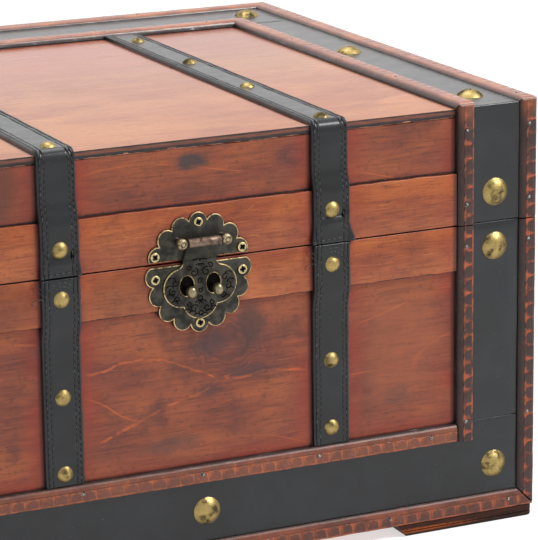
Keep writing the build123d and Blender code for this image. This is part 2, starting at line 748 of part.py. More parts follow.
# Nails and brads.
large_nail_part = fastener(large_nail / 2, large_dome, spike, spike_length)
small_nail_part = fastener(small_nail / 2, small_dome, spike, spike_length)
brad_part = fastener(brad_head, brad_dome, brad_shank, brad_length)
for name, part, spots in (
    ("base_band_nails", large_nail_part, base_large_places),
    ("lid_band_nails", large_nail_part, lid_large_places),
    ("base_strap_nails", small_nail_part, base_strap_places),
    ("lid_strap_nails", small_nail_part, lid_strap_places),
    ("base_brads", brad_part, base_brad_places),
    ("lid_brads", brad_part, lid_brad_places),
):
    with BuildPart() as nails:
        put_fasteners(part, spots)
    save(nails, name)

# Screws of the clasp and the hinges.
with BuildPart() as screw:
    add(fastener(screw_head, screw_dome, screw_shank, screw_length))
    with Locations((0, 0, screw_dome)):
        Box(screw_head, screw_cross, 2 * screw_cross_depth, mode=Mode.SUBTRACT)
        Box(screw_cross, screw_head, 2 * screw_cross_depth, mode=Mode.SUBTRACT)
for name, spots in (
    ("clasp_upper_screws", upper_screw_places),
    ("clasp_lower_screws", lower_screw_places),
    ("hinge_base_screws", base_hinge_places),
    ("hinge_lid_screws", lid_hinge_places),
):
    with BuildPart() as screws:
        put_fasteners(screw.part, spots)
    save(screws, name)

# Clasp plates: one rosette parted at the seam, with two posts above and two studs below.
pin_z = seam_z + clasp_pin_above
pin_y = plate_front_y - post_reach + post_radius
stud_z = pin_z - stud_drop
post_xs = (-post_spacing / 2, post_spacing / 2)
stud_xs = (-stud_spacing / 2, stud_spacing / 2)
plate_plane = Plane(origin=(0, batten_front_y, rosette_z), x_dir=X, z_dir=-Y)


def add_rosette():
    """Add the whole scalloped plate."""
    with BuildSketch(plate_plane) as outline:
        Circle(petal_circle)
        with PolarLocations(petal_circle, petals):
            Circle(petal_radius)
    extrude(outline.sketch, amount=plate)


def ball_post(x, z, neck, ball, reach):
    """Add a round post with a ball on its tip, standing on the clasp plate."""
    with Locations(Plane(origin=(x, plate_front_y, z), z_dir=-Y).location):
        Cylinder(neck, reach - ball, align=UP)
    with Locations((x, plate_front_y - reach + ball, z)):
        Sphere(ball)


def cross_rod(x, y, z, radius, length, mode=Mode.ADD):
    """Add or cut a cylinder that lies along X."""
    with Locations(Plane(origin=(x, y, z), z_dir=X).location):
        Cylinder(radius, length, mode=mode)


with BuildPart() as upper_plate:
    add_rosette()
    split(bisect_by=Plane(origin=(0, 0, seam_z + plate_split / 2), z_dir=Z), keep=Keep.TOP)
    for x in post_xs:
        ball_post(x, pin_z, post_neck, post_radius, post_reach)
    cross_rod(0, pin_y, pin_z, clasp_pin, post_spacing + overrun, Mode.SUBTRACT)
    drill(upper_plate, lid_fasteners)
save(upper_plate, "clasp_upper_plate")

with BuildPart() as clasp_pin_rod:
    cross_rod(0, pin_y, pin_z, clasp_pin, post_spacing + 2 * (post_radius + clasp_pin_over))
save(clasp_pin_rod, "clasp_pin")

with BuildPart() as lower_plate:
    add_rosette()
    split(bisect_by=Plane(origin=(0, 0, seam_z - plate_split / 2), z_dir=-Z), keep=Keep.TOP)
    drill(lower_plate, base_fasteners)
save(lower_plate, "clasp_lower_plate")

with BuildPart() as studs:
    for x in stud_xs:
        ball_post(x, stud_z, stud_neck, stud_ball, stud_reach)
    cross_rod(0, plate_front_y - stud_reach + stud_ball, stud_z, padlock_hole, post_spacing, Mode.SUBTRACT)
save(studs, "clasp_studs")

# Hasp: a barrel on the pin, a sloping neck and a three-lobed flap with two slots for the studs.
flap_back_y = plate_front_y - hasp_gap
flap_front_y = flap_back_y - hasp_thick
with BuildPart() as hasp:
    with BuildSketch(Plane(origin=(0, flap_back_y, pin_z), x_dir=X, z_dir=-Y)) as flap:
        with Locations((0, -(flap_top + lobe_drop) / 2)):
            Rectangle(hasp_neck, lobe_drop - flap_top)
        with Locations((-lobe_spacing / 2, -lobe_drop), (lobe_spacing / 2, -lobe_drop)):
            Circle(lobe_radius)
        with Locations((0, -tail_drop)):
            Circle(tail_radius)
        with Locations(*[(x, slot_lift - stud_drop) for x in stud_xs]):
            SlotOverall(slot_height, slot_width, rotation=90, mode=Mode.SUBTRACT)
    extrude(flap.sketch, amount=hasp_thick)
    with BuildSketch(Plane.YZ.offset(-hasp_neck / 2)) as neck:
        with BuildLine():
            Polyline(
                (pin_y - hasp_thick, pin_z),
                (flap_front_y, pin_z - neck_drop),
                (flap_back_y, pin_z - neck_drop),
                (flap_back_y, pin_z - flap_top),
                (pin_y + hasp_thick, pin_z),
                close=True,
            )
        make_face()
    extrude(neck.sketch, amount=hasp_neck, dir=X)
    cross_rod(0, pin_y, pin_z, barrel_radius, hasp_neck)
    cross_rod(0, pin_y, pin_z, clasp_pin + running, hasp_neck + overrun, Mode.SUBTRACT)
save(hasp, "hasp")

# Hinges.
axis_y = batten_back_y + knuckle_radius
outer_knuckle = (hinge_width - middle_knuckle) / 2 - knuckle_gap
outer_knuckle_x = (hinge_width - outer_knuckle) / 2
knuckle_clear = knuckle_radius + knuckle_gap
with BuildPart() as base_leaves:
    for x in hinge_xs:
        low, high = x - hinge_width / 2, x + hinge_width / 2
        slab((low, batten_back_y, seam_z - leaf_height), (high, leaf_back_y, seam_z - knuckle_clear))
        for offset in (-outer_knuckle_x, outer_knuckle_x):
            near, far = x + offset - outer_knuckle / 2, x + offset + outer_knuckle / 2
            slab((near, batten_back_y, seam_z - leaf_height), (far, leaf_back_y, seam_z))
            cross_rod(x + offset, axis_y, seam_z, knuckle_radius, outer_knuckle)
        cross_rod(x, axis_y, seam_z, hinge_pin, hinge_width + overrun, Mode.SUBTRACT)
    drill(base_leaves, base_fasteners)
save(base_leaves, "hinge_base_leaves")

with BuildPart() as hinge_pins:
    for x in hinge_xs:
        cross_rod(x, axis_y, seam_z, hinge_pin, hinge_width + 2 * pin_over)
save(hinge_pins, "hinge_pins")

with BuildPart() as lid_leaves:
    for x in hinge_xs:
        low, high = x - hinge_width / 2, x + hinge_width / 2
        edge = middle_knuckle / 2
        slab((low, batten_back_y, seam_z + knuckle_clear), (high, leaf_back_y, seam_z + leaf_height))
        slab((x - edge, batten_back_y, seam_z), (x + edge, leaf_back_y, seam_z + leaf_height))
        cross_rod(x, axis_y, seam_z, knuckle_radius, middle_knuckle)
        with Locations(Location((x, axis_y, seam_z), (-lug_angle, 0, 0))):
            Box(lug_width, lug_thick, lug_reach, align=UP)
        cross_rod(x, axis_y, seam_z, hinge_pin + running, hinge_width + overrun, Mode.SUBTRACT)
    drill(lid_leaves, lid_fasteners)
save(lid_leaves, "hinge_lid_leaves")

# Handles: flat leather loops that bow out from the ends.
reach, foot_end = handle_reach / 2, handle_reach / 2 - handle_foot
grip_end = foot_end - handle_rise
bow_x = half_width + handle_bow
handle_line = [
    Vector(half_width, mid_y + reach),
    Vector(half_width, mid_y + foot_end),
    Vector(bow_x, mid_y + grip_end),
    Vector(bow_x, mid_y - grip_end),
    Vector(half_width, mid_y - foot_end),
    Vector(half_width, mid_y - reach),
]
with BuildPart() as right_handle:
    with BuildSketch(Plane.XY.offset(handle_z - handle_width / 2)) as loop:
        with BuildLine():
            Polyline(*layer(handle_line, handle_thick), close=True)
        make_face()
    extrude(loop.sketch, amount=handle_width)
    drill(right_handle, base_fasteners)
save(right_handle, "handle_right")

with BuildPart() as left_handle:
    mirror(right_handle.part, about=Plane.YZ)
save(left_handle, "handle_left")

with BuildPart() as handle_nails:
    put_fasteners(fastener(small_nail / 2, small_dome, spike, handle_spike), handle_places)
save(handle_nails, "handle_nails")

# Feet: flat corner blocks with a rounded outer corner and a bevelled inner end.
foot_x, foot_front_y, foot_back_y = edge_x - foot_inset, edge_front_y + foot_inset, edge_back_y - foot_inset
for place, near_y, far_y in (
    ("front", foot_front_y, foot_front_y + foot_depth),
    ("back", foot_back_y, foot_back_y - foot_depth),
):
    for side, sign in SIDES.items():
        with BuildPart() as foot:
            slab((sign * (foot_x - foot_length), near_y, 0), (sign * foot_x, far_y, foot_height))
            uprights = foot.edges().filter_by(Axis.Z)
            fillet(uprights.sort_by_distance((sign * foot_x, near_y, foot_height / 2))[0], foot_round)
            inner_end = foot.edges().filter_by(Axis.Y).sort_by_distance((0, far_y, 0))[0]
            chamfer(inner_end, foot_bevel)
        save(foot, f"foot_{place}_{side}")
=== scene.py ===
"""Looks of the wooden trunk: stained boards, notched mouldings, black leather, brass nails and a clasp.

Sizes are written in millimetres and turned to metres by MM. The frame is the CAD model's: X runs to
the right along the front, Y from the front to the back and Z up from the floor.
"""

from __future__ import annotations

import json
import logging
import math
import random
from contextlib import contextmanager
from dataclasses import dataclass, field
from enum import Enum
from typing import Callable, Iterator, Sequence

import bmesh
import bpy
from mathutils import Matrix, Vector

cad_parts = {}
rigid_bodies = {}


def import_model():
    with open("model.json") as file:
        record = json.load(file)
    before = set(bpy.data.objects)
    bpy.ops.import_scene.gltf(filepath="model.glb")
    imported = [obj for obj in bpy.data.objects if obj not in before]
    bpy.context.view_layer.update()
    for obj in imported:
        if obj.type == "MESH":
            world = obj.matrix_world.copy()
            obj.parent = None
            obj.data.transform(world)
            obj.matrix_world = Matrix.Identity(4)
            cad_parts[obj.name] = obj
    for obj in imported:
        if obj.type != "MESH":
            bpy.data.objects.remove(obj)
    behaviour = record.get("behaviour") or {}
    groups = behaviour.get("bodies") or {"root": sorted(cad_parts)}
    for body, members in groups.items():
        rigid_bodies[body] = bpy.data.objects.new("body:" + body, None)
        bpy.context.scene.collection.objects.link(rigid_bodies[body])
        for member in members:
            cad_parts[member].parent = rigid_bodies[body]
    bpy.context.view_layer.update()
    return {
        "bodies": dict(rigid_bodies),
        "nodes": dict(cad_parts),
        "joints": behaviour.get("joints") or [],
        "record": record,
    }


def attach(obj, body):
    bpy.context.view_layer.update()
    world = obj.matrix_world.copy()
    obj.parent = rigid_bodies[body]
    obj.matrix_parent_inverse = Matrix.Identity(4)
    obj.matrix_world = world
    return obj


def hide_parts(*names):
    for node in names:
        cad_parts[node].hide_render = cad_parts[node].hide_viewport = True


MM = 0.001
WHITE = (1.0, 1.0, 1.0, 1.0)
LOG = logging.getLogger("trunk")
X, Y, Z = Vector((1, 0, 0)), Vector((0, 1, 0)), Vector((0, 0, 1))
Test = Callable[[Vector], bool]
Signal = bpy.types.Node | bpy.types.NodeSocket


@dataclass(frozen=True)
class TrunkSizes:
    """Main sizes of the trunk in millimetres, the same as the solids have."""

    half_width: float = 246.0
    front: float = -212.009
    back: float = 213.991
    foot: float = 8.0
    seam: float = 213.0
    seam_gap: float = 0.8
    top: float = 292.0
    moulding: float = 4.0
    moulding_leg: float = 13.0
    leather: float = 1.2
    bead: float = 12.5
    side_trim: float = 57.0
    back_trim: float = 72.5
    bottom_trim: float = 62.0
    open_wood: float = 74.5
    batten: float = 3.0
    lid_batten_top: float = 249.0
    base_batten_bottom: float = 182.0
    top_board: float = 6.0
    strap: float = 25.0
    strap_x: float = 95.0
    gap: float = 0.3

    @property
    def base_top(self) -> float:
        """Top of the base, at the lower side of the seam."""
        return self.seam - self.seam_gap / 2

    @property
    def lid_bottom(self) -> float:
        """Underside of the lid, at the upper side of the seam."""
        return self.seam + self.seam_gap / 2

    @property
    def edge_x(self) -> float:
        """Outer face of the mouldings on the ends."""
        return self.half_width + self.moulding

    @property
    def edge_front(self) -> float:
        """Outer face of the mouldings on the front."""
        return self.front - self.moulding

    @property
    def edge_back(self) -> float:
        """Outer face of the mouldings on the back."""
        return self.back + self.moulding

    @property
    def edge_top(self) -> float:
        """Upper face of the mouldings on the top."""
        return self.top + self.moulding

    @property
    def middle(self) -> float:
        """Half way between the front and the back."""
        return (self.front + self.back) / 2


SIZES = TrunkSizes()


# Modelling by hand: selection, edit mode and the operators that every piece uses.


def select_only(*pieces: bpy.types.Object) -> None:
    """Select these pieces alone and make the first one active.

    Args:
        pieces: What the next operator acts on.
    """
    bpy.ops.object.select_all(action="DESELECT")
    for piece in pieces:
        piece.select_set(True)
    bpy.context.view_layer.objects.active = pieces[0]


@contextmanager
def editing(piece: bpy.types.Object) -> Iterator[None]:
    """Hold a piece in edit mode.

    Args:
        piece: The piece whose mesh is edited.

    Yields:
        Nothing.
    """
    select_only(piece)
    bpy.ops.object.mode_set(mode="EDIT")
    try:
        yield
    finally:
        bpy.ops.object.mode_set(mode="OBJECT")


def pick_verts(piece: bpy.types.Object, test: Test) -> int:
    """Select the vertices whose place passes a test, in edit mode.

    Args:
        piece: The piece in edit mode.
        test: Says yes or no to a place in millimetres.

    Returns:
        How many vertices are selected.
    """
    bpy.ops.mesh.select_mode(type="VERT")
    mesh = bmesh.from_edit_mesh(piece.data)
    count = 0
    for vert in mesh.verts:
        chosen = test(vert.co / MM)
        vert.select_set(chosen)
        count += chosen
    mesh.select_flush_mode()
    bmesh.update_edit_mesh(piece.data)
    return count


def pick_edges(piece: bpy.types.Object, test: Callable[[Vector, Vector], bool]) -> int:
    """Select the edges whose two ends pass a test, in edit mode.

    Args:
        piece: The piece in edit mode.
        test: Says yes or no to the two ends in millimetres.

    Returns:
        How many edges are selected.
    """
    bpy.ops.mesh.select_mode(type="EDGE")
    mesh = bmesh.from_edit_mesh(piece.data)
    for element in (*mesh.faces, *mesh.edges, *mesh.verts):
        element.select_set(False)
    count = 0
    for edge in mesh.edges:
        if test(edge.verts[0].co / MM, edge.verts[1].co / MM):
            edge.select_set(True)
            count += 1
    bmesh.update_edit_mesh(piece.data)
    return count


def pick_faces(piece: bpy.types.Object, test: Callable[[Vector, Vector], bool]) -> int:
    """Select the faces whose middle and normal pass a test, in edit mode.

    Args:
        piece: The piece in edit mode.
        test: Says yes or no to a middle in millimetres and a normal.

    Returns:
        How many faces are selected.
    """
    bpy.ops.mesh.select_mode(type="FACE")
    mesh = bmesh.from_edit_mesh(piece.data)
    mesh.normal_update()
    for element in (*mesh.faces, *mesh.edges, *mesh.verts):
        element.select_set(False)
    count = 0
    for face in mesh.faces:
        if test(face.calc_center_median() / MM, face.normal):
            face.select_set(True)
            count += 1
    bmesh.update_edit_mesh(piece.data)
    return count


def add_box(name: str, low: Sequence[float], high: Sequence[float]) -> bpy.types.Object:
    """Add a box between two corners.

    Args:
        name: The piece's name.
        low: Lowest corner in millimetres.
        high: Highest corner in millimetres.

    Returns:
        The new piece, with its place in its mesh.
    """
    bpy.ops.object.select_all(action="DESELECT")
    low, high = Vector(low) * MM, Vector(high) * MM
    bpy.ops.mesh.primitive_cube_add(size=1, location=(low + high) / 2, scale=high - low)
    piece = bpy.context.object
    piece.name = name
    bpy.ops.object.transform_apply(location=True, rotation=True, scale=True)
    return piece


def place(piece: bpy.types.Object, matrix: Matrix) -> None:
    """Move a piece by a matrix and put its place into its mesh.

    Args:
        piece: The piece to move.
        matrix: Where it goes, in metres.
    """
    select_only(piece)
    piece.matrix_world = matrix
    bpy.ops.object.transform_apply(location=True, rotation=True, scale=True)


def settle_normals(piece: bpy.types.Object, merge: float = 0.0) -> None:
    """Merge doubles where asked and turn all faces outwards.

    Args:
        piece: The piece to clean.
        merge: Distance in millimetres below which vertices merge.
    """
    with editing(piece):
        bpy.ops.mesh.select_mode(type="VERT")
        bpy.ops.mesh.select_all(action="SELECT")
        if merge:
            bpy.ops.mesh.remove_doubles(threshold=merge * MM)
        bpy.ops.mesh.normals_make_consistent(inside=False)


def smooth(piece: bpy.types.Object, degrees: float = 35.0) -> None:
    """Shade a piece smooth except across sharp edges.

    Args:
        piece: The piece to shade.
        degrees: The angle above which an edge stays sharp.
    """
    select_only(piece)
    bpy.ops.object.shade_smooth_by_angle(angle=math.radians(degrees))


def apply_modifier(piece: bpy.types.Object, kind: str, **settings: object) -> None:
    """Add a modifier with its settings and apply it.

    Args:
        piece: The piece to change.
        kind: The modifier's type.
        settings: Its properties by name.
    """
    modifier = piece.modifiers.new(kind.lower(), kind)
    for key, value in settings.items():
        setattr(modifier, key, value)
    select_only(piece)
    bpy.ops.object.modifier_apply(modifier=modifier.name)


def join(name: str, pieces: Sequence[bpy.types.Object]) -> bpy.types.Object:
    """Join several pieces into one.

    Args:
        name: The joined piece's name.
        pieces: The pieces, at least one.

    Returns:
        The joined piece.
    """
    select_only(*pieces)
    if len(pieces) > 1:
        bpy.ops.object.join()
    piece = bpy.context.object
    piece.name = name
    piece.data.name = name
    return piece


def copy_of(piece: bpy.types.Object, name: str) -> bpy.types.Object:
    """Duplicate a piece with its own mesh.

    Args:
        piece: The piece to copy.
        name: The copy's name.

    Returns:
        The copy.
    """
    select_only(piece)
    bpy.ops.object.duplicate(linked=False)
    twin = bpy.context.object
    twin.name = name
    return twin


def mirrored(piece: bpy.types.Object, name: str) -> bpy.types.Object:
    """Copy a piece to the other side of the trunk.

    Args:
        piece: The piece on one side.
        name: The copy's name.

    Returns:
        The mirrored copy.
    """
    twin = copy_of(piece, name)
    place(twin, Matrix.Diagonal((-1, 1, 1, 1)))
    settle_normals(twin)
    return twin


def cut_away(piece: bpy.types.Object, point: Sequence[float], keep: Vector) -> None:
    """Cut a piece by a plane and close the cut.

    Args:
        piece: The piece to cut.
        point: A point of the plane in millimetres.
        keep: The direction of the side that stays.
    """
    with editing(piece):
        bpy.ops.mesh.select_all(action="SELECT")
        bpy.ops.mesh.bisect(
            plane_co=Vector(point) * MM,
            plane_no=keep.normalized(),
            clear_inner=True,
            use_fill=True,
            threshold=0.00001,
        )


def ring_cuts(piece: bpy.types.Object, axis: Vector, stations: Sequence[float]) -> None:
    """Cut rings of edges across a piece in edit mode, without removing anything.

    Args:
        piece: The piece in edit mode.
        axis: The direction that the cuts are square to.
        stations: Where they lie along it, in millimetres.
    """
    for station in stations:
        bpy.ops.mesh.select_all(action="SELECT")
        bpy.ops.mesh.bisect(plane_co=axis * station * MM, plane_no=axis, threshold=0.00001)


def dress(piece: bpy.types.Object, finish: bpy.types.Material, body: str) -> None:
    """Give a piece its finish, if it has none yet, and the body it rides on.

    Args:
        piece: The finished piece.
        finish: Its material.
        body: The body it moves with.
    """
    if not piece.data.materials:
        piece.data.materials.append(finish)
    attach(piece, body)
    LOG.info("%s: %d faces", piece.name, len(piece.data.polygons))


# Materials.


def linear(colour: str) -> tuple[float, float, float, float]:
    """Turn an sRGB hex value to linear.

    Args:
        colour: Six hex digits.

    Returns:
        Red, green, blue and full alpha.
    """
    parts = [int(colour[index : index + 2], 16) / 255 for index in (0, 2, 4)]
    bright = [part / 12.92 if part <= 0.04045 else ((part + 0.055) / 1.055) ** 2.4 for part in parts]
    return (*bright, 1.0)


def per_size(millimetres: float) -> float:
    """The scale of a texture whose features have this size."""
    return 1 / (millimetres * MM)


# Inputs of a Mix node that mixes colours: the share of the upper one, the lower and the upper colour.
SHARE, UNDER, OVER = 0, 6, 7


class Recipe:
    """A material or world under construction, with one way to add a node."""

    def __init__(self, owner: bpy.types.Material | bpy.types.World) -> None:
        """Start with an empty tree.

        Args:
            owner: What the nodes belong to.
        """
        owner.use_nodes = True
        self.owner = owner
        self.tree = owner.node_tree
        self.tree.nodes.clear()

    def add(self, kind: str, inputs: dict | Sequence = (), **settings: object) -> bpy.types.Node:
        """Add a node with its settings and links.

        Args:
            kind: The node's type, without the leading ShaderNode.
            inputs: Values, sockets or nodes, by the input's name or number or in the inputs' order. A
                node is linked by its first output that is in use.
            settings: Properties of the node.

        Returns:
            The node.
        """
        node = self.tree.nodes.new("ShaderNode" + kind)
        for key, value in settings.items():
            setattr(node, key, value)
        named = inputs if isinstance(inputs, dict) else dict(enumerate(inputs))
        for key, value in named.items():
            if isinstance(value, bpy.types.Node):
                value = next(output for output in value.outputs if output.enabled)
            if isinstance(value, bpy.types.NodeSocket):
                self.tree.links.new(value, node.inputs[key])
            else:
                node.inputs[key].default_value = value
        return node

    def finish(self, inputs: dict) -> bpy.types.Material:
        """Close the material with one shader.

        Args:
            inputs: Values or sockets of the shader's inputs.

        Returns:
            The material.
        """
        shader = self.add("BsdfPrincipled", inputs)
        self.add("OutputMaterial", {"Surface": shader})
        return self.owner


class Grain(Enum):
    """Which way the grain of a board runs."""

    ALONG_X = (0.05, 1.0, 1.0)
    ALONG_Y = (1.0, 0.05, 1.0)
    ALONG_Z = (1.0, 1.0, 0.05)


@dataclass(frozen=True)
class Mark:
    """A knot or a smudge: its middle, its reach along each axis, its pull on the figure and its darkness."""

    middle: tuple[float, float, float]
    reach: tuple[float, float, float]
    pull: float = 0.0
    dark: float = 0.0
    tone: str = "3a2a28"

    def nearness(self, recipe: Recipe, spot: Signal) -> Signal:
        """How near a spot is: 1 in the middle, 0 beyond an uneven rim.

        Args:
            recipe: The material under construction.
            spot: Object coordinates.

        Returns:
            The nearness.
        """
        stretch = [per_size(reach) for reach in self.reach]
        shift = [-middle / reach for middle, reach in zip(self.middle, self.reach)]
        local = recipe.add("Mapping", {"Vector": spot, "Scale": stretch, "Location": shift})
        length = recipe.add("VectorMath", (local,), operation="LENGTH")
        wander = recipe.add(
            "Math",
            (
                recipe.add(
                    "TexNoise",
                    {
                        "Vector": spot,
                        "Scale": per_size(min(self.reach) * 0.9),
                        "Detail": 3.0,
                        "Roughness": 0.6,
                    },
                ),
                0.9,
            ),
            operation="MULTIPLY",
        )
        return recipe.add(
            "MapRange",
            (recipe.add("Math", (length, wander), operation="ADD"), 0.75, 1.5, 1.0, 0.0),
            interpolation_type="SMOOTHSTEP",
        )


@dataclass(frozen=True)
class FigureLine:
    """A glowing line in the figure of the veneer, through a few places in X and Z in millimetres."""

    places: tuple[tuple[float, float], ...]
    width: float = 1.2
    strength: float = 0.5

    def nearness(self, recipe: Recipe, spot: Signal, wander: Signal) -> Signal:
        """How strongly the line shows at a spot.

        Args:
            recipe: The material under construction.
            spot: Object coordinates.
            wander: A value round 0.5 that makes the line uneven.

        Returns:
            Its strength, 0 away from the line.
        """
        across = [x for x, z in self.places]
        up = [z for x, z in self.places]
        start, end, low, high = min(across), max(across), min(up) - 1, max(up) + 1
        parts = recipe.add("SeparateXYZ", {0: spot}).outputs
        share = recipe.add("MapRange", (parts[0], start * MM, end * MM))
        course = recipe.add("FloatCurve", {"Value": share})
        points = course.mapping.curves[0].points
        points[0].location = (0.0, (up[0] - low) / (high - low))
        points[-1].location = (1.0, (up[-1] - low) / (high - low))
        for x, z in self.places[1:-1]:
            points.new((x - start) / (end - start), (z - low) / (high - low))
        course.mapping.update()
        height = recipe.add("MapRange", {"Value": course, "To Min": low * MM, "To Max": high * MM})
        uneven = recipe.add(
            "Math",
            (recipe.add("Math", (wander, 0.5), operation="SUBTRACT"), 3 * MM),
            operation="MULTIPLY",
        )
        away = recipe.add(
            "Math",
            (
                recipe.add(
                    "Math",
                    (recipe.add("Math", (parts[2], height), operation="SUBTRACT"), uneven),
                    operation="ADD",
                ),
            ),
            operation="ABSOLUTE",
        )
        line = recipe.add(
            "MapRange",
            (away, 0.2 * self.width * MM, self.width * MM, self.strength, 0.0),
            interpolation_type="SMOOTHSTEP",
        )
        return recipe.add(
            "Math",
            (
                line,
                recipe.add(
                    "MapRange",
                    (recipe.add("Math", (share, 0.5), operation="PINGPONG"), 0.0, 0.05),
                    interpolation_type="SMOOTHSTEP",
                ),
            ),
            operation="MULTIPLY",
        )


@dataclass(frozen=True)
class StainedPlywood:
    """Birch plywood, stained red-brown by hand and lacquered.

    The eye sees a cloudy ground between plum and orange, fine dashes of open pores along the grain,
    thin glowing lines along the figure, dark rings round a knot, smudges, and redder stain that ran
    together beside the trim and into its nooks. Painted shade blackens the deepest nooks, a painted
    shadow darkens the board left of the straps and of the right bead, and a dark line runs along the
    batten: painted shadow under the base's batten, a dark joint above the lid's.
    """

    name: str
    ground: str
    light: str
    dark: str
    glow: str
    corner: str
    grain: Grain = Grain.ALONG_X
    pore: float = 0.9
    figure: float = 46.0
    bend: float = 3.6
    cloud: float = 55.0
    smudge: float = 0.6
    rough: float = 0.42
    coat: float = 0.12
    gloss: float = 1.4
    marks: tuple[Mark, ...] = ()
    lines: tuple[FigureLine, ...] = ()
    pools: float = 0.0
    joint: float = 0.0
    batten_line_width: float = 1.1
    shift: tuple[float, float, float] = (0.0, 0.0, 0.0)

    def build(self) -> bpy.types.Material:
        """Make the material.

        Returns:
            The material.
        """
        recipe = Recipe(bpy.data.materials.new(self.name))
        spot = recipe.add("TexCoord").outputs["Object"]
        plain = recipe.add("Mapping", {"Vector": spot, "Location": self.shift})
        stretch = self.grain.value
        along = recipe.add("Mapping", {"Vector": spot, "Scale": stretch, "Location": self.shift})
        stretch = [max(part, 0.4) for part in self.grain.value]
        half_along = recipe.add("Mapping", {"Vector": spot, "Scale": stretch, "Location": self.shift})
        pores = recipe.add(
            "TexNoise", {"Vector": along, "Scale": per_size(self.pore), "Detail": 4.0, "Roughness": 0.7}
        )
        streaks = recipe.add(
            "TexNoise",
            {"Vector": along, "Scale": per_size(self.pore * 4), "Detail": 3.0, "Roughness": 0.6},
        )
        colour = self.ground_colour(recipe, plain, half_along, pores, streaks)
        colour = self.figured(recipe, spot, half_along, plain, colour)
        smudges = recipe.add(
            "TexNoise",
            {"Vector": plain, "Scale": per_size(self.cloud * 0.6), "Detail": 3.0, "Roughness": 0.65},
        )
        colour = recipe.add(
            "Mix",
            {
                SHARE: recipe.add(
                    "MapRange", (smudges, 0.55, 0.74, 0.0, self.smudge), interpolation_type="SMOOTHSTEP"
                ),
                UNDER: colour,
                OVER: linear(self.dark),
            },
            data_type="RGBA",
        )
        for mark in self.marks:
            near = mark.nearness(recipe, spot)
            colour = recipe.add(
                "Mix",
                {
                    SHARE: recipe.add("Math", (near, mark.dark), operation="MULTIPLY"),
                    UNDER: colour,
                    OVER: linear(mark.tone),
                },
                data_type="RGBA",
            )
        colour = self.stain_and_painted_shade(recipe, spot, plain, colour)
        return recipe.finish(
            {
                "Base Color": colour,
                "Roughness": recipe.add(
                    "MapRange",
                    (streaks, 0.3, 0.7, self.rough - 0.05, self.rough + 0.07),
                    interpolation_type="SMOOTHSTEP",
                ),
                "Normal": recipe.add("Bump", {"Height": pores, "Distance": 0.05 * MM, "Strength": 0.5}),
                "IOR": self.gloss,
                "Coat Weight": self.coat,
                "Coat IOR": self.gloss,
                "Coat Roughness": 0.2,
            },
        )

    def ground_colour(
        self,
        recipe: Recipe,
        plain: Signal,
        half_along: Signal,
        pores: Signal,
        streaks: Signal,
    ) -> Signal:
        """Cloudy stain with pores and streaks along the grain.

        Args:
            recipe: The material under construction.
            plain: Coordinates for marks without a direction.
            half_along: Coordinates for marks that are drawn out along the grain.
            pores: The fine grain.
            streaks: The coarse grain.

        Returns:
            The colour.
        """
        cloud = recipe.add(
            "TexNoise",
            {"Vector": half_along, "Scale": per_size(self.cloud), "Detail": 3.0, "Roughness": 0.6},
        )
        mottle = recipe.add(
            "TexNoise", {"Vector": plain, "Scale": per_size(3.2), "Detail": 3.0, "Roughness": 0.7}
        )
        patches = recipe.add(
            "TexNoise", {"Vector": half_along, "Scale": per_size(14), "Detail": 2.0, "Roughness": 0.55}
        )
        colour = recipe.add(
            "Mix",
            {
                SHARE: recipe.add("MapRange", (cloud, 0.4, 0.62), interpolation_type="SMOOTHSTEP"),
                UNDER: linear(self.ground),
                OVER: linear(self.light),
            },
            data_type="RGBA",
        )
        colour = recipe.add(
            "Mix",
            {
                SHARE: recipe.add(
                    "MapRange", (patches, 0.5, 0.72, 0.0, 0.55), interpolation_type="SMOOTHSTEP"
                ),
                UNDER: colour,
                OVER: linear(self.light),
            },
            data_type="RGBA",
        )
        colour = recipe.add(
            "Mix",
            {
                SHARE: recipe.add(
                    "MapRange", (patches, 0.28, 0.46, 0.35, 0.0), interpolation_type="SMOOTHSTEP"
                ),
                UNDER: colour,
                OVER: linear(self.dark),
            },
            data_type="RGBA",
        )
        colour = recipe.add(
            "Mix",
            {
                SHARE: recipe.add(
                    "MapRange", (mottle, 0.52, 0.7, 0.0, 0.45), interpolation_type="SMOOTHSTEP"
                ),
                UNDER: colour,
                OVER: linear(self.dark),
            },
            data_type="RGBA",
        )
        colour = recipe.add(
            "Mix",
            {
                SHARE: recipe.add(
                    "MapRange", (streaks, 0.48, 0.7, 0.0, 0.26), interpolation_type="SMOOTHSTEP"
                ),
                UNDER: colour,
                OVER: linear(self.dark),
            },
            data_type="RGBA",
        )
        colour = recipe.add(
            "Mix",
            {
                SHARE: recipe.add(
                    "MapRange", (pores, 0.5, 0.68, 0.0, 0.55), interpolation_type="SMOOTHSTEP"
                ),
                UNDER: colour,
                OVER: linear(self.dark),
            },
            data_type="RGBA",
        )
        return recipe.add(
            "Mix",
            {
                SHARE: recipe.add(
                    "MapRange", (pores, 0.3, 0.46, 0.65, 0.0), interpolation_type="SMOOTHSTEP"
                ),
                UNDER: colour,
                OVER: linear(self.light),
            },
            data_type="RGBA",
        )

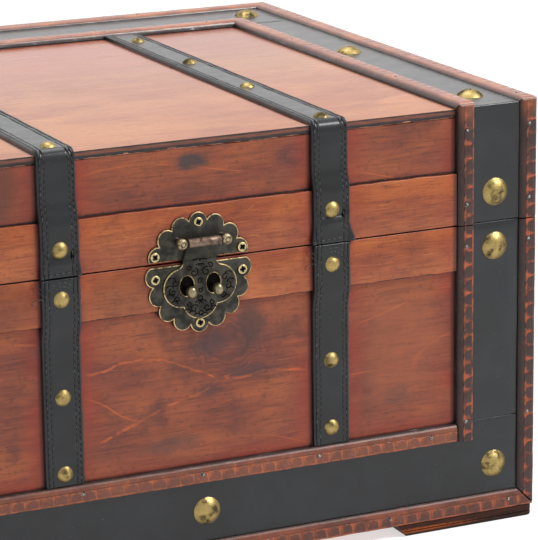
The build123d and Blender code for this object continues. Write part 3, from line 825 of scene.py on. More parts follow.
    def figured(
        self,
        recipe: Recipe,
        spot: Signal,
        half_along: Signal,
        plain: Signal,
        colour: Signal,
    ) -> Signal:
        """Draw the figure of the veneer: glowing lines here and there, and rings round the knots.

        Args:
            recipe: The material under construction.
            spot: Object coordinates.
            half_along: Coordinates for marks that are drawn out along the grain.
            plain: Coordinates for marks without a direction.
            colour: The colour below.

        Returns:
            The colour.
        """
        across = recipe.add("SeparateXYZ", {0: spot}).outputs[2 if self.grain is Grain.ALONG_X else 0]
        wander = recipe.add(
            "Math",
            (
                recipe.add(
                    "TexNoise",
                    {
                        "Vector": half_along,
                        "Scale": per_size(self.figure * 2.2),
                        "Detail": 1.5,
                        "Roughness": 0.55,
                    },
                ),
                self.bend,
            ),
            operation="MULTIPLY",
        )
        phase = recipe.add(
            "Math",
            (recipe.add("Math", (across, per_size(self.figure)), operation="MULTIPLY"), wander),
            operation="ADD",
        )
        rings = None
        for mark in self.marks:
            if mark.pull:
                near = mark.nearness(recipe, spot)
                phase = recipe.add(
                    "Math",
                    (phase, recipe.add("Math", (near, mark.pull), operation="MULTIPLY")),
                    operation="ADD",
                )
                rings = near
        line = recipe.add(
            "MapRange",
            (recipe.add("Math", (phase, 0.5), operation="PINGPONG"), 0.484, 0.499, 0.0, 0.42),
            interpolation_type="SMOOTHSTEP",
        )
        here = recipe.add(
            "MapRange",
            (
                recipe.add(
                    "TexNoise",
                    {
                        "Vector": plain,
                        "Scale": per_size(self.figure * 0.9),
                        "Detail": 2.0,
                        "Roughness": 0.55,
                    },
                ),
                0.44,
                0.6,
            ),
            interpolation_type="SMOOTHSTEP",
        )
        colour = recipe.add(
            "Mix",
            {
                SHARE: recipe.add("Math", (line, here), operation="MULTIPLY"),
                UNDER: colour,
                OVER: linear(self.glow),
            },
            data_type="RGBA",
        )
        wavering = recipe.add(
            "TexNoise", {"Vector": plain, "Scale": per_size(9), "Detail": 3.0, "Roughness": 0.6}
        )
        patchy = recipe.add(
            "MapRange",
            (
                recipe.add(
                    "TexNoise", {"Vector": plain, "Scale": per_size(5), "Detail": 2.0, "Roughness": 0.55}
                ),
                0.36,
                0.6,
                0.15,
                1.0,
            ),
            interpolation_type="SMOOTHSTEP",
        )
        for drawn in self.lines:
            strength = recipe.add(
                "Math", (drawn.nearness(recipe, spot, wavering), patchy), operation="MULTIPLY"
            )
            colour = recipe.add(
                "Mix", {SHARE: strength, UNDER: colour, OVER: linear(self.glow)}, data_type="RGBA"
            )
        if rings is not None:
            wave = recipe.add(
                "Math",
                (recipe.add("Math", (phase, 2.0), operation="MULTIPLY"), 0.5),
                operation="PINGPONG",
            )
            ring = recipe.add(
                "Math",
                (
                    recipe.add("MapRange", (wave, 0.15, 0.42, 0.0, 0.7), interpolation_type="SMOOTHSTEP"),
                    rings,
                ),
                operation="MULTIPLY",
            )
            colour = recipe.add(
                "Mix", {SHARE: ring, UNDER: colour, OVER: linear(self.dark)}, data_type="RGBA"
            )
        return colour

    def stain_and_painted_shade(
        self,
        recipe: Recipe,
        spot: Signal,
        plain: Signal,
        colour: Signal,
    ) -> Signal:
        """Let the stain pool beside the trim, paint its shadow and the shade in its nooks, and draw the batten
        line.

        Args:
            recipe: The material under construction.
            spot: Object coordinates.
            plain: Coordinates for marks without a direction.
            colour: The colour below.

        Returns:
            The colour.
        """
        ragged = recipe.add(
            "TexNoise", {"Vector": plain, "Scale": per_size(2.6), "Detail": 3.0, "Roughness": 0.7}
        )
        parts = recipe.add("SeparateXYZ", {0: spot})
        if self.pools:
            from_middle = recipe.add("Math", (parts.outputs[0],), operation="ABSOLUTE")
            from_strap = recipe.add(
                "Math",
                (recipe.add("Math", (from_middle, SIZES.strap_x * MM), operation="SUBTRACT"),),
                operation="ABSOLUTE",
            )
            beside = recipe.add(
                "MapRange", (from_strap, 0.012, 0.034, 1.0, 0.0), interpolation_type="SMOOTHSTEP"
            )
            edge = (SIZES.half_width - SIZES.side_trim) * MM
            beside = recipe.add(
                "Math",
                (
                    beside,
                    recipe.add(
                        "MapRange",
                        (from_middle, edge - 0.024, edge, 0.0, 1.0),
                        interpolation_type="SMOOTHSTEP",
                    ),
                ),
                operation="MAXIMUM",
            )
            low = SIZES.open_wood * MM
            beside = recipe.add(
                "Math",
                (
                    beside,
                    recipe.add(
                        "MapRange",
                        (parts.outputs[2], low, low + 0.016, 0.8, 0.0),
                        interpolation_type="SMOOTHSTEP",
                    ),
                ),
                operation="MAXIMUM",
            )
            patchy = recipe.add(
                "MapRange",
                (
                    recipe.add(
                        "TexNoise",
                        {"Vector": plain, "Scale": per_size(38), "Detail": 2.0, "Roughness": 0.55},
                    ),
                    0.36,
                    0.6,
                    0.15,
                    self.pools,
                ),
                interpolation_type="SMOOTHSTEP",
            )
            colour = recipe.add(
                "Mix",
                {
                    SHARE: recipe.add("Math", (beside, patchy), operation="MULTIPLY"),
                    UNDER: colour,
                    OVER: linear(self.corner),
                },
                data_type="RGBA",
            )
            # Painted shadow: a near-black band just left of each strap and of the right bead, where their
            # shadow falls.
            for place_x in (edge / MM, SIZES.strap_x - SIZES.strap / 2, -SIZES.strap_x - SIZES.strap / 2):
                from_wall = recipe.add(
                    "Math",
                    (recipe.add("Math", (parts.outputs[0], place_x * MM), operation="SUBTRACT"),),
                    operation="ABSOLUTE",
                )
                painted_shadow = recipe.add(
                    "MapRange", (from_wall, 0.0012, 0.0042, 0.8, 0.0), interpolation_type="SMOOTHSTEP"
                )
                colour = recipe.add(
                    "Mix", {SHARE: painted_shadow, UNDER: colour, OVER: linear("1c0f0c")}, data_type="RGBA"
                )
        # Ambient occlusion finds the nooks by the trim: first a red stain tint there, then painted shade deeper
        # in.
        shade = recipe.add("AmbientOcclusion", {"Distance": 7 * MM}, samples=6, only_local=False)
        nook = recipe.add("Math", (1.0, shade.outputs["AO"]), operation="SUBTRACT")
        nook = recipe.add(
            "Math",
            (
                nook,
                recipe.add(
                    "Math",
                    (recipe.add("Math", (ragged, 0.5), operation="SUBTRACT"), 0.3),
                    operation="MULTIPLY",
                ),
            ),
            operation="ADD",
        )
        colour = recipe.add(
            "Mix",
            {
                SHARE: recipe.add(
                    "MapRange", (nook, 0.08, 0.34, 0.0, 0.55), interpolation_type="SMOOTHSTEP"
                ),
                UNDER: colour,
                OVER: linear(self.corner),
            },
            data_type="RGBA",
        )
        # A dark line along the batten: painted shadow under the base's batten, a dark joint above the lid's.
        if self.joint:
            away = recipe.add(
                "Math",
                (recipe.add("Math", (parts.outputs[2], self.joint * MM), operation="SUBTRACT"),),
                operation="ABSOLUTE",
            )
            wide = self.batten_line_width * MM
            uneven = recipe.add(
                "Math",
                (recipe.add("Math", (ragged, 0.5), operation="SUBTRACT"), wide * 3.4),
                operation="MULTIPLY",
            )
            line = recipe.add(
                "MapRange",
                (recipe.add("Math", (away, uneven), operation="ADD"), wide * 0.55, wide * 1.1, 0.93, 0.0),
                interpolation_type="SMOOTHSTEP",
            )
            colour = recipe.add(
                "Mix", {SHARE: line, UNDER: colour, OVER: linear("17100e")}, data_type="RGBA"
            )
        # Painted shade: the deepest nooks turn nearly black.
        return recipe.add(
            "Mix",
            {
                SHARE: recipe.add(
                    "MapRange", (nook, 0.3, 0.55, 0.0, 0.96), interpolation_type="SMOOTHSTEP"
                ),
                UNDER: colour,
                OVER: linear("120a08"),
            },
            data_type="RGBA",
        )


@dataclass(frozen=True)
class PliedEdge:
    """The cut edge of the top board: brown core between two uneven lines of nearly black stain."""

    name: str = "stained_plied_edge"
    core: str = "4e2a20"
    light: str = "7a4431"
    line: str = "16100e"

    def build(self) -> bpy.types.Material:
        """Make the material.

        Returns:
            The material.
        """
        recipe = Recipe(bpy.data.materials.new(self.name))
        spot = recipe.add("TexCoord").outputs["Object"]
        height = recipe.add("SeparateXYZ", {0: spot}).outputs[2]
        along = recipe.add("Mapping", {"Vector": spot, "Scale": Grain.ALONG_X.value})
        grain = recipe.add(
            "TexNoise", {"Vector": along, "Scale": per_size(0.8), "Detail": 4.0, "Roughness": 0.7}
        )
        half_along = recipe.add("Mapping", {"Vector": spot, "Scale": (0.3, 1, 1)})
        wander = recipe.add(
            "Math",
            (
                recipe.add(
                    "TexNoise",
                    {"Vector": half_along, "Scale": per_size(3.0), "Detail": 4.0, "Roughness": 0.7},
                ),
                0.5,
            ),
            operation="SUBTRACT",
        )
        level = recipe.add(
            "Math",
            (height, recipe.add("Math", (wander, 2.4 * MM), operation="MULTIPLY")),
            operation="ADD",
        )
        colour = recipe.add(
            "Mix",
            {
                SHARE: recipe.add("MapRange", (grain, 0.35, 0.65), interpolation_type="SMOOTHSTEP"),
                UNDER: linear(self.core),
                OVER: linear(self.light),
            },
            data_type="RGBA",
        )
        upper = recipe.add(
            "MapRange",
            (level, (SIZES.top - 1.5) * MM, (SIZES.top - 0.8) * MM, 0.0, 0.95),
            interpolation_type="SMOOTHSTEP",
        )
        colour = recipe.add(
            "Mix", {SHARE: upper, UNDER: colour, OVER: linear(self.line)}, data_type="RGBA"
        )
        low = SIZES.top - SIZES.top_board
        lower = recipe.add(
            "MapRange",
            (level, (low + 2.3) * MM, (low + 3.2) * MM, 0.97, 0.0),
            interpolation_type="SMOOTHSTEP",
        )
        colour = recipe.add(
            "Mix", {SHARE: lower, UNDER: colour, OVER: linear(self.line)}, data_type="RGBA"
        )
        return recipe.finish(
            {
                "Base Color": colour,
                "Roughness": recipe.add(
                    "MapRange", (grain, 0.3, 0.7, 0.5, 0.65), interpolation_type="SMOOTHSTEP"
                ),
                "Normal": recipe.add("Bump", {"Height": grain, "Distance": 0.2 * MM, "Strength": 0.6}),
            },
        )


@dataclass(frozen=True)
class StainedMoulding:
    """Softwood moulding, pressed with notches, stained dark and rubbed back.

    The pressed blocks took the stain purple-brown, each a little differently, the grooves between
    them were rubbed back to a dull orange and the smooth half is a streaky brown. The low flank is
    painted near-black, as shade on the uprights and as the black edge of the top beads, the nooks get
    painted shade, and a crown colour lightens the top end of the uprights as a painted highlight.
    """

    name: str
    body: str
    deep: str
    block: str
    notch: str
    # Near-black of the low flank: painted shade on the uprights' flanks, and the black edge along the top
    # beads.
    flank: str = "140c0a"
    stain: float = 0.9
    glow: float = 0.8
    gloss: float = 1.4
    coat: float = 0.7
    freckle: float = 0.4
    # Colour of a painted highlight at the top end, where the lid's uprights turn over towards the lit top;
    # empty for none.
    crown: str = ""

    def build(self) -> bpy.types.Material:
        """Make the material.

        Returns:
            The material.
        """
        recipe = Recipe(bpy.data.materials.new(self.name))
        run = recipe.add("Attribute", attribute_name="run").outputs["Vector"]
        groove = recipe.add("Attribute", attribute_name="groove").outputs["Fac"]
        block = recipe.add("Attribute", attribute_name="block").outputs["Fac"]
        flank = recipe.add("Attribute", attribute_name="flank").outputs["Fac"]
        spot = recipe.add("TexCoord").outputs["Object"]
        long_run = recipe.add("Mapping", {"Vector": run, "Scale": (0.07, 1, 1)})
        fibres = recipe.add(
            "TexNoise", {"Vector": long_run, "Scale": per_size(0.9), "Detail": 4.0, "Roughness": 0.7}
        )
        mottle = recipe.add(
            "TexNoise", {"Vector": spot, "Scale": per_size(2.2), "Detail": 3.0, "Roughness": 0.7}
        )
        colour = recipe.add(
            "Mix",
            {
                SHARE: recipe.add(
                    "MapRange",
                    (
                        recipe.add(
                            "TexNoise",
                            {"Vector": spot, "Scale": per_size(24), "Detail": 2.0, "Roughness": 0.55},
                        ),
                        0.36,
                        0.64,
                    ),
                    interpolation_type="SMOOTHSTEP",
                ),
                UNDER: linear(self.body),
                OVER: linear(self.deep),
            },
            data_type="RGBA",
        )
        colour = recipe.add(
            "Mix",
            {
                SHARE: recipe.add(
                    "MapRange", (fibres, 0.48, 0.7, 0.0, 0.6), interpolation_type="SMOOTHSTEP"
                ),
                UNDER: colour,
                OVER: linear(self.deep),
            },
            data_type="RGBA",
        )
        colour = recipe.add(
            "Mix",
            {
                SHARE: recipe.add(
                    "MapRange", (mottle, 0.3, 0.46, self.freckle, 0.0), interpolation_type="SMOOTHSTEP"
                ),
                UNDER: colour,
                OVER: linear(self.notch),
            },
            data_type="RGBA",
        )
        dark = recipe.add(
            "MapRange",
            (
                recipe.add(
                    "TexNoise", {"Vector": spot, "Scale": per_size(17), "Detail": 2.0, "Roughness": 0.55}
                ),
                0.34,
                0.56,
                self.stain * 0.35,
                self.stain,
            ),
            interpolation_type="SMOOTHSTEP",
        )
        uneven = recipe.add("MapRange", (mottle, 0.3, 0.62, 0.55, 1.0), interpolation_type="SMOOTHSTEP")
        colour = recipe.add(
            "Mix",
            {
                SHARE: recipe.add(
                    "Math",
                    (recipe.add("Math", (block, dark), operation="MULTIPLY"), uneven),
                    operation="MULTIPLY",
                ),
                UNDER: colour,
                OVER: linear(self.block),
            },
            data_type="RGBA",
        )
        thin = recipe.add(
            "MapRange",
            (
                recipe.add(
                    "TexNoise", {"Vector": spot, "Scale": per_size(7), "Detail": 2.0, "Roughness": 0.55}
                ),
                0.36,
                0.64,
                0.05,
                self.glow,
            ),
            interpolation_type="SMOOTHSTEP",
        )
        colour = recipe.add(
            "Mix",
            {
                SHARE: recipe.add("Math", (groove, thin), operation="MULTIPLY"),
                UNDER: colour,
                OVER: linear(self.notch),
            },
            data_type="RGBA",
        )
        # Painted highlight: the top 14 mm of the uprights lighten towards the crown colour, as the lit top
        # does.
        if self.crown:
            height = recipe.add("SeparateXYZ", {0: spot}).outputs[2]
            worn = recipe.add(
                "MapRange",
                (height, (SIZES.top - 14) * MM, SIZES.top * MM, 0.0, 0.55),
                interpolation_type="SMOOTHSTEP",
            )
            colour = recipe.add(
                "Mix", {SHARE: worn, UNDER: colour, OVER: linear(self.crown)}, data_type="RGBA"
            )
        # The low flank turns near-black: painted shade, and on the top beads their black edge.
        black = recipe.add(
            "Math",
            (
                flank,
                recipe.add("MapRange", (mottle, 0.25, 0.5, 0.6, 0.97), interpolation_type="SMOOTHSTEP"),
            ),
            operation="MULTIPLY",
        )
        colour = recipe.add(
            "Mix", {SHARE: black, UNDER: colour, OVER: linear(self.flank)}, data_type="RGBA"
        )
        # Painted shade: the nooks beside the moulding darken to nearly black.
        shade = recipe.add("AmbientOcclusion", {"Distance": 5 * MM}, samples=6)
        nook = recipe.add("Math", (1.0, shade.outputs["AO"]), operation="SUBTRACT")
        colour = recipe.add(
            "Mix",
            {
                SHARE: recipe.add(
                    "MapRange", (nook, 0.34, 0.68, 0.0, 0.93), interpolation_type="SMOOTHSTEP"
                ),
                UNDER: colour,
                OVER: linear("120a08"),
            },
            data_type="RGBA",
        )
        return recipe.finish(
            {
                "Base Color": colour,
                "Roughness": recipe.add(
                    "MapRange", (fibres, 0.3, 0.7, 0.46, 0.6), interpolation_type="SMOOTHSTEP"
                ),
                "Normal": recipe.add("Bump", {"Height": fibres, "Distance": 0.08 * MM, "Strength": 0.5}),
                "IOR": self.gloss,
                "Coat Weight": self.coat,
                "Coat IOR": self.gloss,
                "Coat Roughness": 0.25,
            },
        )


@dataclass(frozen=True)
class Leather:
    """Black split leather with a pressed grain: dark from the front, a soft grey gloss when seen along it.

    Fine pits break the gloss, wrinkles bend it and faint worn clouds lighten the black.
    """

    name: str
    colour: str = "26282b"
    worn: str = "3d4045"
    pit: float = 1.1
    depth: float = 0.07
    wrinkle: float = 9.0
    rough: float = 0.5
    coat: float = 0.85

    def build(self) -> bpy.types.Material:
        """Make the material.

        Returns:
            The material.
        """
        recipe = Recipe(bpy.data.materials.new(self.name))
        spot = recipe.add("TexCoord").outputs["Object"]
        pits = recipe.add("TexVoronoi", {"Vector": spot, "Scale": per_size(self.pit)}, feature="F1")
        wrinkles = recipe.add(
            "TexNoise", {"Vector": spot, "Scale": per_size(self.wrinkle), "Detail": 4.0, "Roughness": 0.6}
        )
        cloud = recipe.add(
            "TexNoise", {"Vector": spot, "Scale": per_size(40), "Detail": 3.0, "Roughness": 0.6}
        )
        colour = recipe.add(
            "Mix",
            {
                SHARE: recipe.add("MapRange", (cloud, 0.35, 0.7), interpolation_type="SMOOTHSTEP"),
                UNDER: linear(self.colour),
                OVER: linear(self.worn),
            },
            data_type="RGBA",
        )
        colour = recipe.add(
            "Mix",
            {
                SHARE: recipe.add(
                    "MapRange", (pits, 0.0, 0.45, 0.5, 0.0), interpolation_type="SMOOTHSTEP"
                ),
                UNDER: colour,
                OVER: linear("070708"),
            },
            data_type="RGBA",
        )
        dust = recipe.add(
            "MapRange",
            (
                recipe.add(
                    "TexNoise", {"Vector": spot, "Scale": per_size(1.6), "Detail": 3.0, "Roughness": 0.7}
                ),
                0.66,
                0.76,
                0.0,
                0.35,
            ),
            interpolation_type="SMOOTHSTEP",
        )
        colour = recipe.add("Mix", {SHARE: dust, UNDER: colour, OVER: linear("6c7074")}, data_type="RGBA")
        relief = recipe.add("Bump", {"Height": pits, "Distance": self.depth * MM, "Strength": 0.35})
        inputs = {"Height": wrinkles, "Distance": 0.5 * MM, "Strength": 0.35, "Normal": relief}
        relief = recipe.add("Bump", inputs)
        return recipe.finish(
            {
                "Base Color": colour,
                "Roughness": recipe.add(
                    "MapRange",
                    (wrinkles, 0.3, 0.7, self.rough - 0.06, self.rough + 0.08),
                    interpolation_type="SMOOTHSTEP",
                ),
                "Normal": relief.outputs[0],
                "IOR": 1.25,
                "Coat Weight": self.coat,
                "Coat IOR": 1.36,
                "Coat Roughness": 0.2,
                "Sheen Weight": 0.6,
                "Sheen Roughness": 0.22,
            },
        )


@dataclass(frozen=True)
class AgedMetal:
    """Plated metal that has been darkened and rubbed: bright where it is touched, spotted elsewhere."""

    name: str
    bright: str
    patina: str
    spot: float = 6.0
    low: float = 0.5
    high: float = 0.72
    rough: float = 0.34
    scratch: float = 0.5
    dent: float = 0.0

    def build(self) -> bpy.types.Material:
        """Make the material.

        Returns:
            The material.
        """
        recipe = Recipe(bpy.data.materials.new(self.name))
        where = recipe.add("TexCoord").outputs["Object"]
        spots = recipe.add(
            "TexNoise", {"Vector": where, "Scale": per_size(self.spot), "Detail": 3.0, "Roughness": 0.6}
        )
        grit = recipe.add(
            "TexNoise",
            {"Vector": where, "Scale": per_size(self.scratch), "Detail": 3.0, "Roughness": 0.7},
        )
        aged = recipe.add("MapRange", (spots, self.low, self.high), interpolation_type="SMOOTHSTEP")
        colour = recipe.add(
            "Mix", {SHARE: aged, UNDER: linear(self.bright), OVER: linear(self.patina)}, data_type="RGBA"
        )
        colour = recipe.add(
            "Mix",
            {
                SHARE: recipe.add(
                    "MapRange", (grit, 0.46, 0.74, 0.0, 0.5), interpolation_type="SMOOTHSTEP"
                ),
                UNDER: colour,
                OVER: linear(self.patina),
            },
            data_type="RGBA",
        )
        relief = recipe.add("Bump", {"Height": grit, "Distance": 0.04 * MM, "Strength": 0.4})
        if self.dent:
            inputs = {"Height": spots, "Distance": self.dent * MM, "Strength": 0.6, "Normal": relief}
            relief = recipe.add("Bump", inputs)
        return recipe.finish(
            {
                "Base Color": colour,
                "Metallic": recipe.add(
                    "MapRange", (aged, 0.0, 1.0, 1.0, 0.75), interpolation_type="SMOOTHSTEP"
                ),
                "Roughness": recipe.add(
                    "MapRange",
                    (aged, 0.0, 1.0, self.rough, self.rough + 0.25),
                    interpolation_type="SMOOTHSTEP",
                ),
                "Normal": relief.outputs[0],
            },
        )


@dataclass(frozen=True)
class WaxedThread:
    """Black waxed linen thread: matt, with a grey fleck where it catches the light."""

    name: str = "waxed_linen_thread"
    colour: str = "0c0c0e"
    fleck: str = "404247"

    def build(self) -> bpy.types.Material:
        """Make the material.

        Returns:
            The material.
        """
        recipe = Recipe(bpy.data.materials.new(self.name))
        spot = recipe.add("TexCoord").outputs["Object"]
        fleck = recipe.add(
            "MapRange",
            (
                recipe.add(
                    "TexNoise", {"Vector": spot, "Scale": per_size(2.2), "Detail": 2.0, "Roughness": 0.55}
                ),
                0.52,
                0.7,
            ),
            interpolation_type="SMOOTHSTEP",
        )
        colour = recipe.add(
            "Mix", {SHARE: fleck, UNDER: linear(self.colour), OVER: linear(self.fleck)}, data_type="RGBA"
        )
        return recipe.finish({"Base Color": colour, "Roughness": 0.55})


class Finishes:
    """All materials of the trunk, made once."""

    panel_tones = ("783824", "964d29", "48241d", "cf6428", "8a2410")
    # The top's tones are lighter than the front panels': a painted sheen for the top, seen at a grazing angle,
    # besides the real coat.
    sheen_lightened_top_tones = ("a85f3a", "c07a48", "8a4a2c", "d68a55", "8a3018")
    batten_tones = ("8e4424", "ad5f31", "5e2a18", "d98644", "8a2410")
    knot = Mark((22.0, -212.0, 152.0), (36.0, 60.0, 24.0), pull=2.0, dark=0.4, tone="5a2c26")

    def __init__(self) -> None:
        """Build every finish."""
        face = SIZES.front
        self.panel = StainedPlywood(
            "stained_plywood_base_panel",
            *self.panel_tones,
            pools=0.6,
            # Painted shadow line under the base's batten.
            joint=181.4,
            batten_line_width=0.5,
            marks=(
                self.knot,
                Mark((37.0, face, 164.0), (17.0, 60.0, 24.0), dark=0.72, tone="382624"),
                Mark((11.0, face, 155.0), (17.0, 60.0, 12.0), dark=0.75, tone="40292a"),
                Mark((36.0, face, 133.0), (26.0, 60.0, 6.0), dark=0.7, tone="40292a"),
                Mark((8.0, face, 124.0), (12.0, 60.0, 6.0), dark=0.6, tone="40292a"),
                Mark((-20.0, face, 90.0), (30.0, 60.0, 8.0), dark=0.5, tone="43302e"),
                Mark((146.0, face, 135.0), (42.0, 60.0, 52.0), dark=0.4, tone="9c5634"),
                Mark((144.0, face, 100.0), (16.0, 60.0, 9.0), dark=0.4, tone="43302e"),
            ),
            lines=(
                FigureLine(
                    (
                        (-79.6, 145.2),
                        (-67.6, 146.1),
                        (-50.2, 150.3),
                        (-32.9, 149.9),
                        (-8.5, 141.2),
                        (14.0, 130.4),
                    ),
                ),
                FigureLine(
                    ((-70.8, 97.9), (-42.6, 108.9), (-12.5, 119.7), (1.7, 122.8), (14.5, 130.4)),
                    width=1.4,
                ),
                FigureLine(((18.0, 131.6), (28.7, 133.5), (36.0, 137.0), (38.5, 144.0)), width=0.8),
                FigureLine(
                    ((18.0, 131.0), (34.0, 129.3), (44.9, 131.2), (59.4, 130.4), (82.0, 126.0)),
                    strength=0.65,
                ),
            ),
        ).build()
        self.lid_panel = StainedPlywood(
            "stained_plywood_lid_panel",
            *self.panel_tones,
            pools=0.55,
            joint=249.9,
            batten_line_width=0.75,
            smudge=0.5,
            marks=(
                Mark((-1.4, face, 277.4), (16.0, 60.0, 7.0), dark=0.9, tone="342c2c"),
                Mark((71.0, face, 272.0), (17.0, 60.0, 13.0), pull=2.6, dark=0.35, tone="4e2a30"),
                Mark((-150.0, face, 270.0), (60.0, 60.0, 40.0), dark=0.75, tone="4c241d"),
            ),
            shift=(0.3, 0.0, 0.1),
        ).build()
        self.inside = StainedPlywood(
            "stained_plywood_plain", *self.panel_tones, shift=(0.1, 0.2, 0.4)
        ).build()
        # The top board: lighter tones as a painted sheen, with a strong real coat as well.
        self.top = StainedPlywood(
            "stained_plywood_top",
            *self.sheen_lightened_top_tones,
            cloud=80.0,
            smudge=0.2,
            rough=0.3,
            coat=1.0,
            gloss=1.45,
            figure=70.0,
            bend=2.4,
            shift=(0.2, 0.1, 0.05),
            marks=(
                Mark((0.0, 120.0, 292.0), (500.0, 120.0, 200.0), dark=0.8, tone="a44718"),
                Mark((150.0, 60.0, 292.0), (60.0, 160.0, 200.0), dark=0.45, tone="8a4426"),
            ),
        ).build()
        self.plies = PliedEdge().build()
        self.batten = StainedPlywood(
            "stained_birch_batten",
            *self.batten_tones,
            pore=0.8,
            figure=16.0,
            bend=3.0,
            smudge=0.35,
            pools=0.3,
            marks=(
                Mark((-125.0, face - 3, 197.0), (60.0, 60.0, 22.0), dark=0.45, tone="5e2a18"),
                Mark((-52.0, face - 3, 195.0), (40.0, 60.0, 22.0), dark=0.5, tone="5e2a18"),
            ),
            shift=(0.5, 0.3, 0.1),
        ).build()
        self.back_batten = StainedPlywood(
            "stained_birch_back_batten",
            *self.batten_tones,
            pore=0.8,
            figure=16.0,
            bend=3.0,
            smudge=0.45,
            shift=(0.2, 0.3, 0.4),
        ).build()
        self.end_panel = StainedPlywood(
            "stained_plywood_end", *self.panel_tones, grain=Grain.ALONG_Y, shift=(0.1, 0.6, 0.2),
        ).build()
        self.end_batten = StainedPlywood(
            "stained_birch_end_batten",
            *self.batten_tones,
            grain=Grain.ALONG_Y,
            pore=0.8,
            figure=16.0,
            bend=3.0,
            smudge=0.35,
        ).build()
        self.foot = StainedPlywood(
            "stained_pine_foot",
            "35190d",
            "4e2614",
            "160a06",
            "803c18",
            "110806",
            pore=1.0,
            figure=9.0,
            bend=1.0,
            smudge=0.5,
            rough=0.7,
            coat=0.0,
            gloss=1.3,
            marks=(Mark((160.0, face, 3.2), (60.0, 90.0, 2.2), dark=0.85, tone="b05824"),),
        ).build()
        self.moulding = StainedMoulding(
            "stained_notched_pine", "7c4029", "54291b", "40261f", "a5522f", stain=0.8, coat=0.25,
        ).build()
        self.pale_moulding = StainedMoulding(
            "thinly_stained_notched_pine", "7a4029", "5e2e1e", "5c301f", "ae5a2e", stain=0.5, coat=0.4,
        ).build()
        self.dark_moulding = StainedMoulding(
            "dark_stained_notched_pine",
            "381e16",
            "22130e",
            "382420",
            "a8502c",
            stain=0.85,
            glow=0.95,
            gloss=1.36,
            coat=0.4,
            freckle=0.12,
            crown="8a4c31",
        ).build()
        # Lighter than the other mouldings: a painted sheen for the top, which is seen at a grazing angle,
        # besides the real coat.
        self.top_moulding = StainedMoulding(
            "sheen_lightened_notched_pine",
            "b0663f",
            "86462c",
            "754232",
            "b86c46",
            stain=0.5,
            glow=0.4,
            gloss=1.48,
            coat=1.0,
        ).build()
        self.band = Leather(
            "smooth_black_leather", "0c0e11", "171a1e", pit=1.3, depth=0.05, wrinkle=14.0, coat=1.0
        ).build()
        self.strap = Leather(
            "stitched_black_leather",
            "08090b",
            "15171b",
            pit=1.0,
            depth=0.08,
            wrinkle=6.0,
            rough=0.46,
            coat=0.85,
        ).build()
        self.thread = WaxedThread().build()
        self.brass = AgedMetal(
            "antique_brass",
            "a38e5a",
            "3f341f",
            spot=8.0,
            low=0.44,
            high=0.68,
            rough=0.42,
            scratch=0.9,
            dent=0.6,
        ).build()
        self.bronze = AgedMetal(
            "antique_bronze", "47443e", "2a2925", spot=7.0, low=0.35, high=0.65, rough=0.42
        ).build()
        self.rubbed = AgedMetal(
            "rubbed_bronze_edge", "c2a97a", "5f5238", spot=4.0, low=0.4, high=0.7, rough=0.4
        ).build()
        self.tip = AgedMetal(
            "ringed_bronze_tip", "a39578", "4a4234", spot=2.6, low=0.45, high=0.7, rough=0.36
        ).build()
        self.screw = AgedMetal(
            "brassed_steel_screw", "cdb987", "6a5a38", spot=3.0, low=0.55, high=0.75, rough=0.32
        ).build()
        self.steel = AgedMetal(
            "dull_steel_brad", "a4a4a4", "3c3a39", spot=1.2, low=0.42, high=0.62, rough=0.36
        ).build()
        self.stud = AgedMetal(
            "brightened_bronze_stud", "8c8266", "3f392d", spot=3.0, low=0.48, high=0.72, rough=0.34
        ).build()
        self.rolled = AgedMetal(
            "rolled_bronze_barrel", "7c6a5c", "4a382f", spot=4.0, low=0.4, high=0.7, rough=0.5
        ).build()
        # Black of the engraved lines; also painted shade in the hasp's slots, on the studs' shafts and round
        # the brads, and the black at the bottom of the screws' crosses.
        self.engraving = AgedMetal("black_engraving_and_painted_shade", "141310", "0a0908", spot=3.0, rough=0.6).build()


# Notched stock for the mouldings and beads.


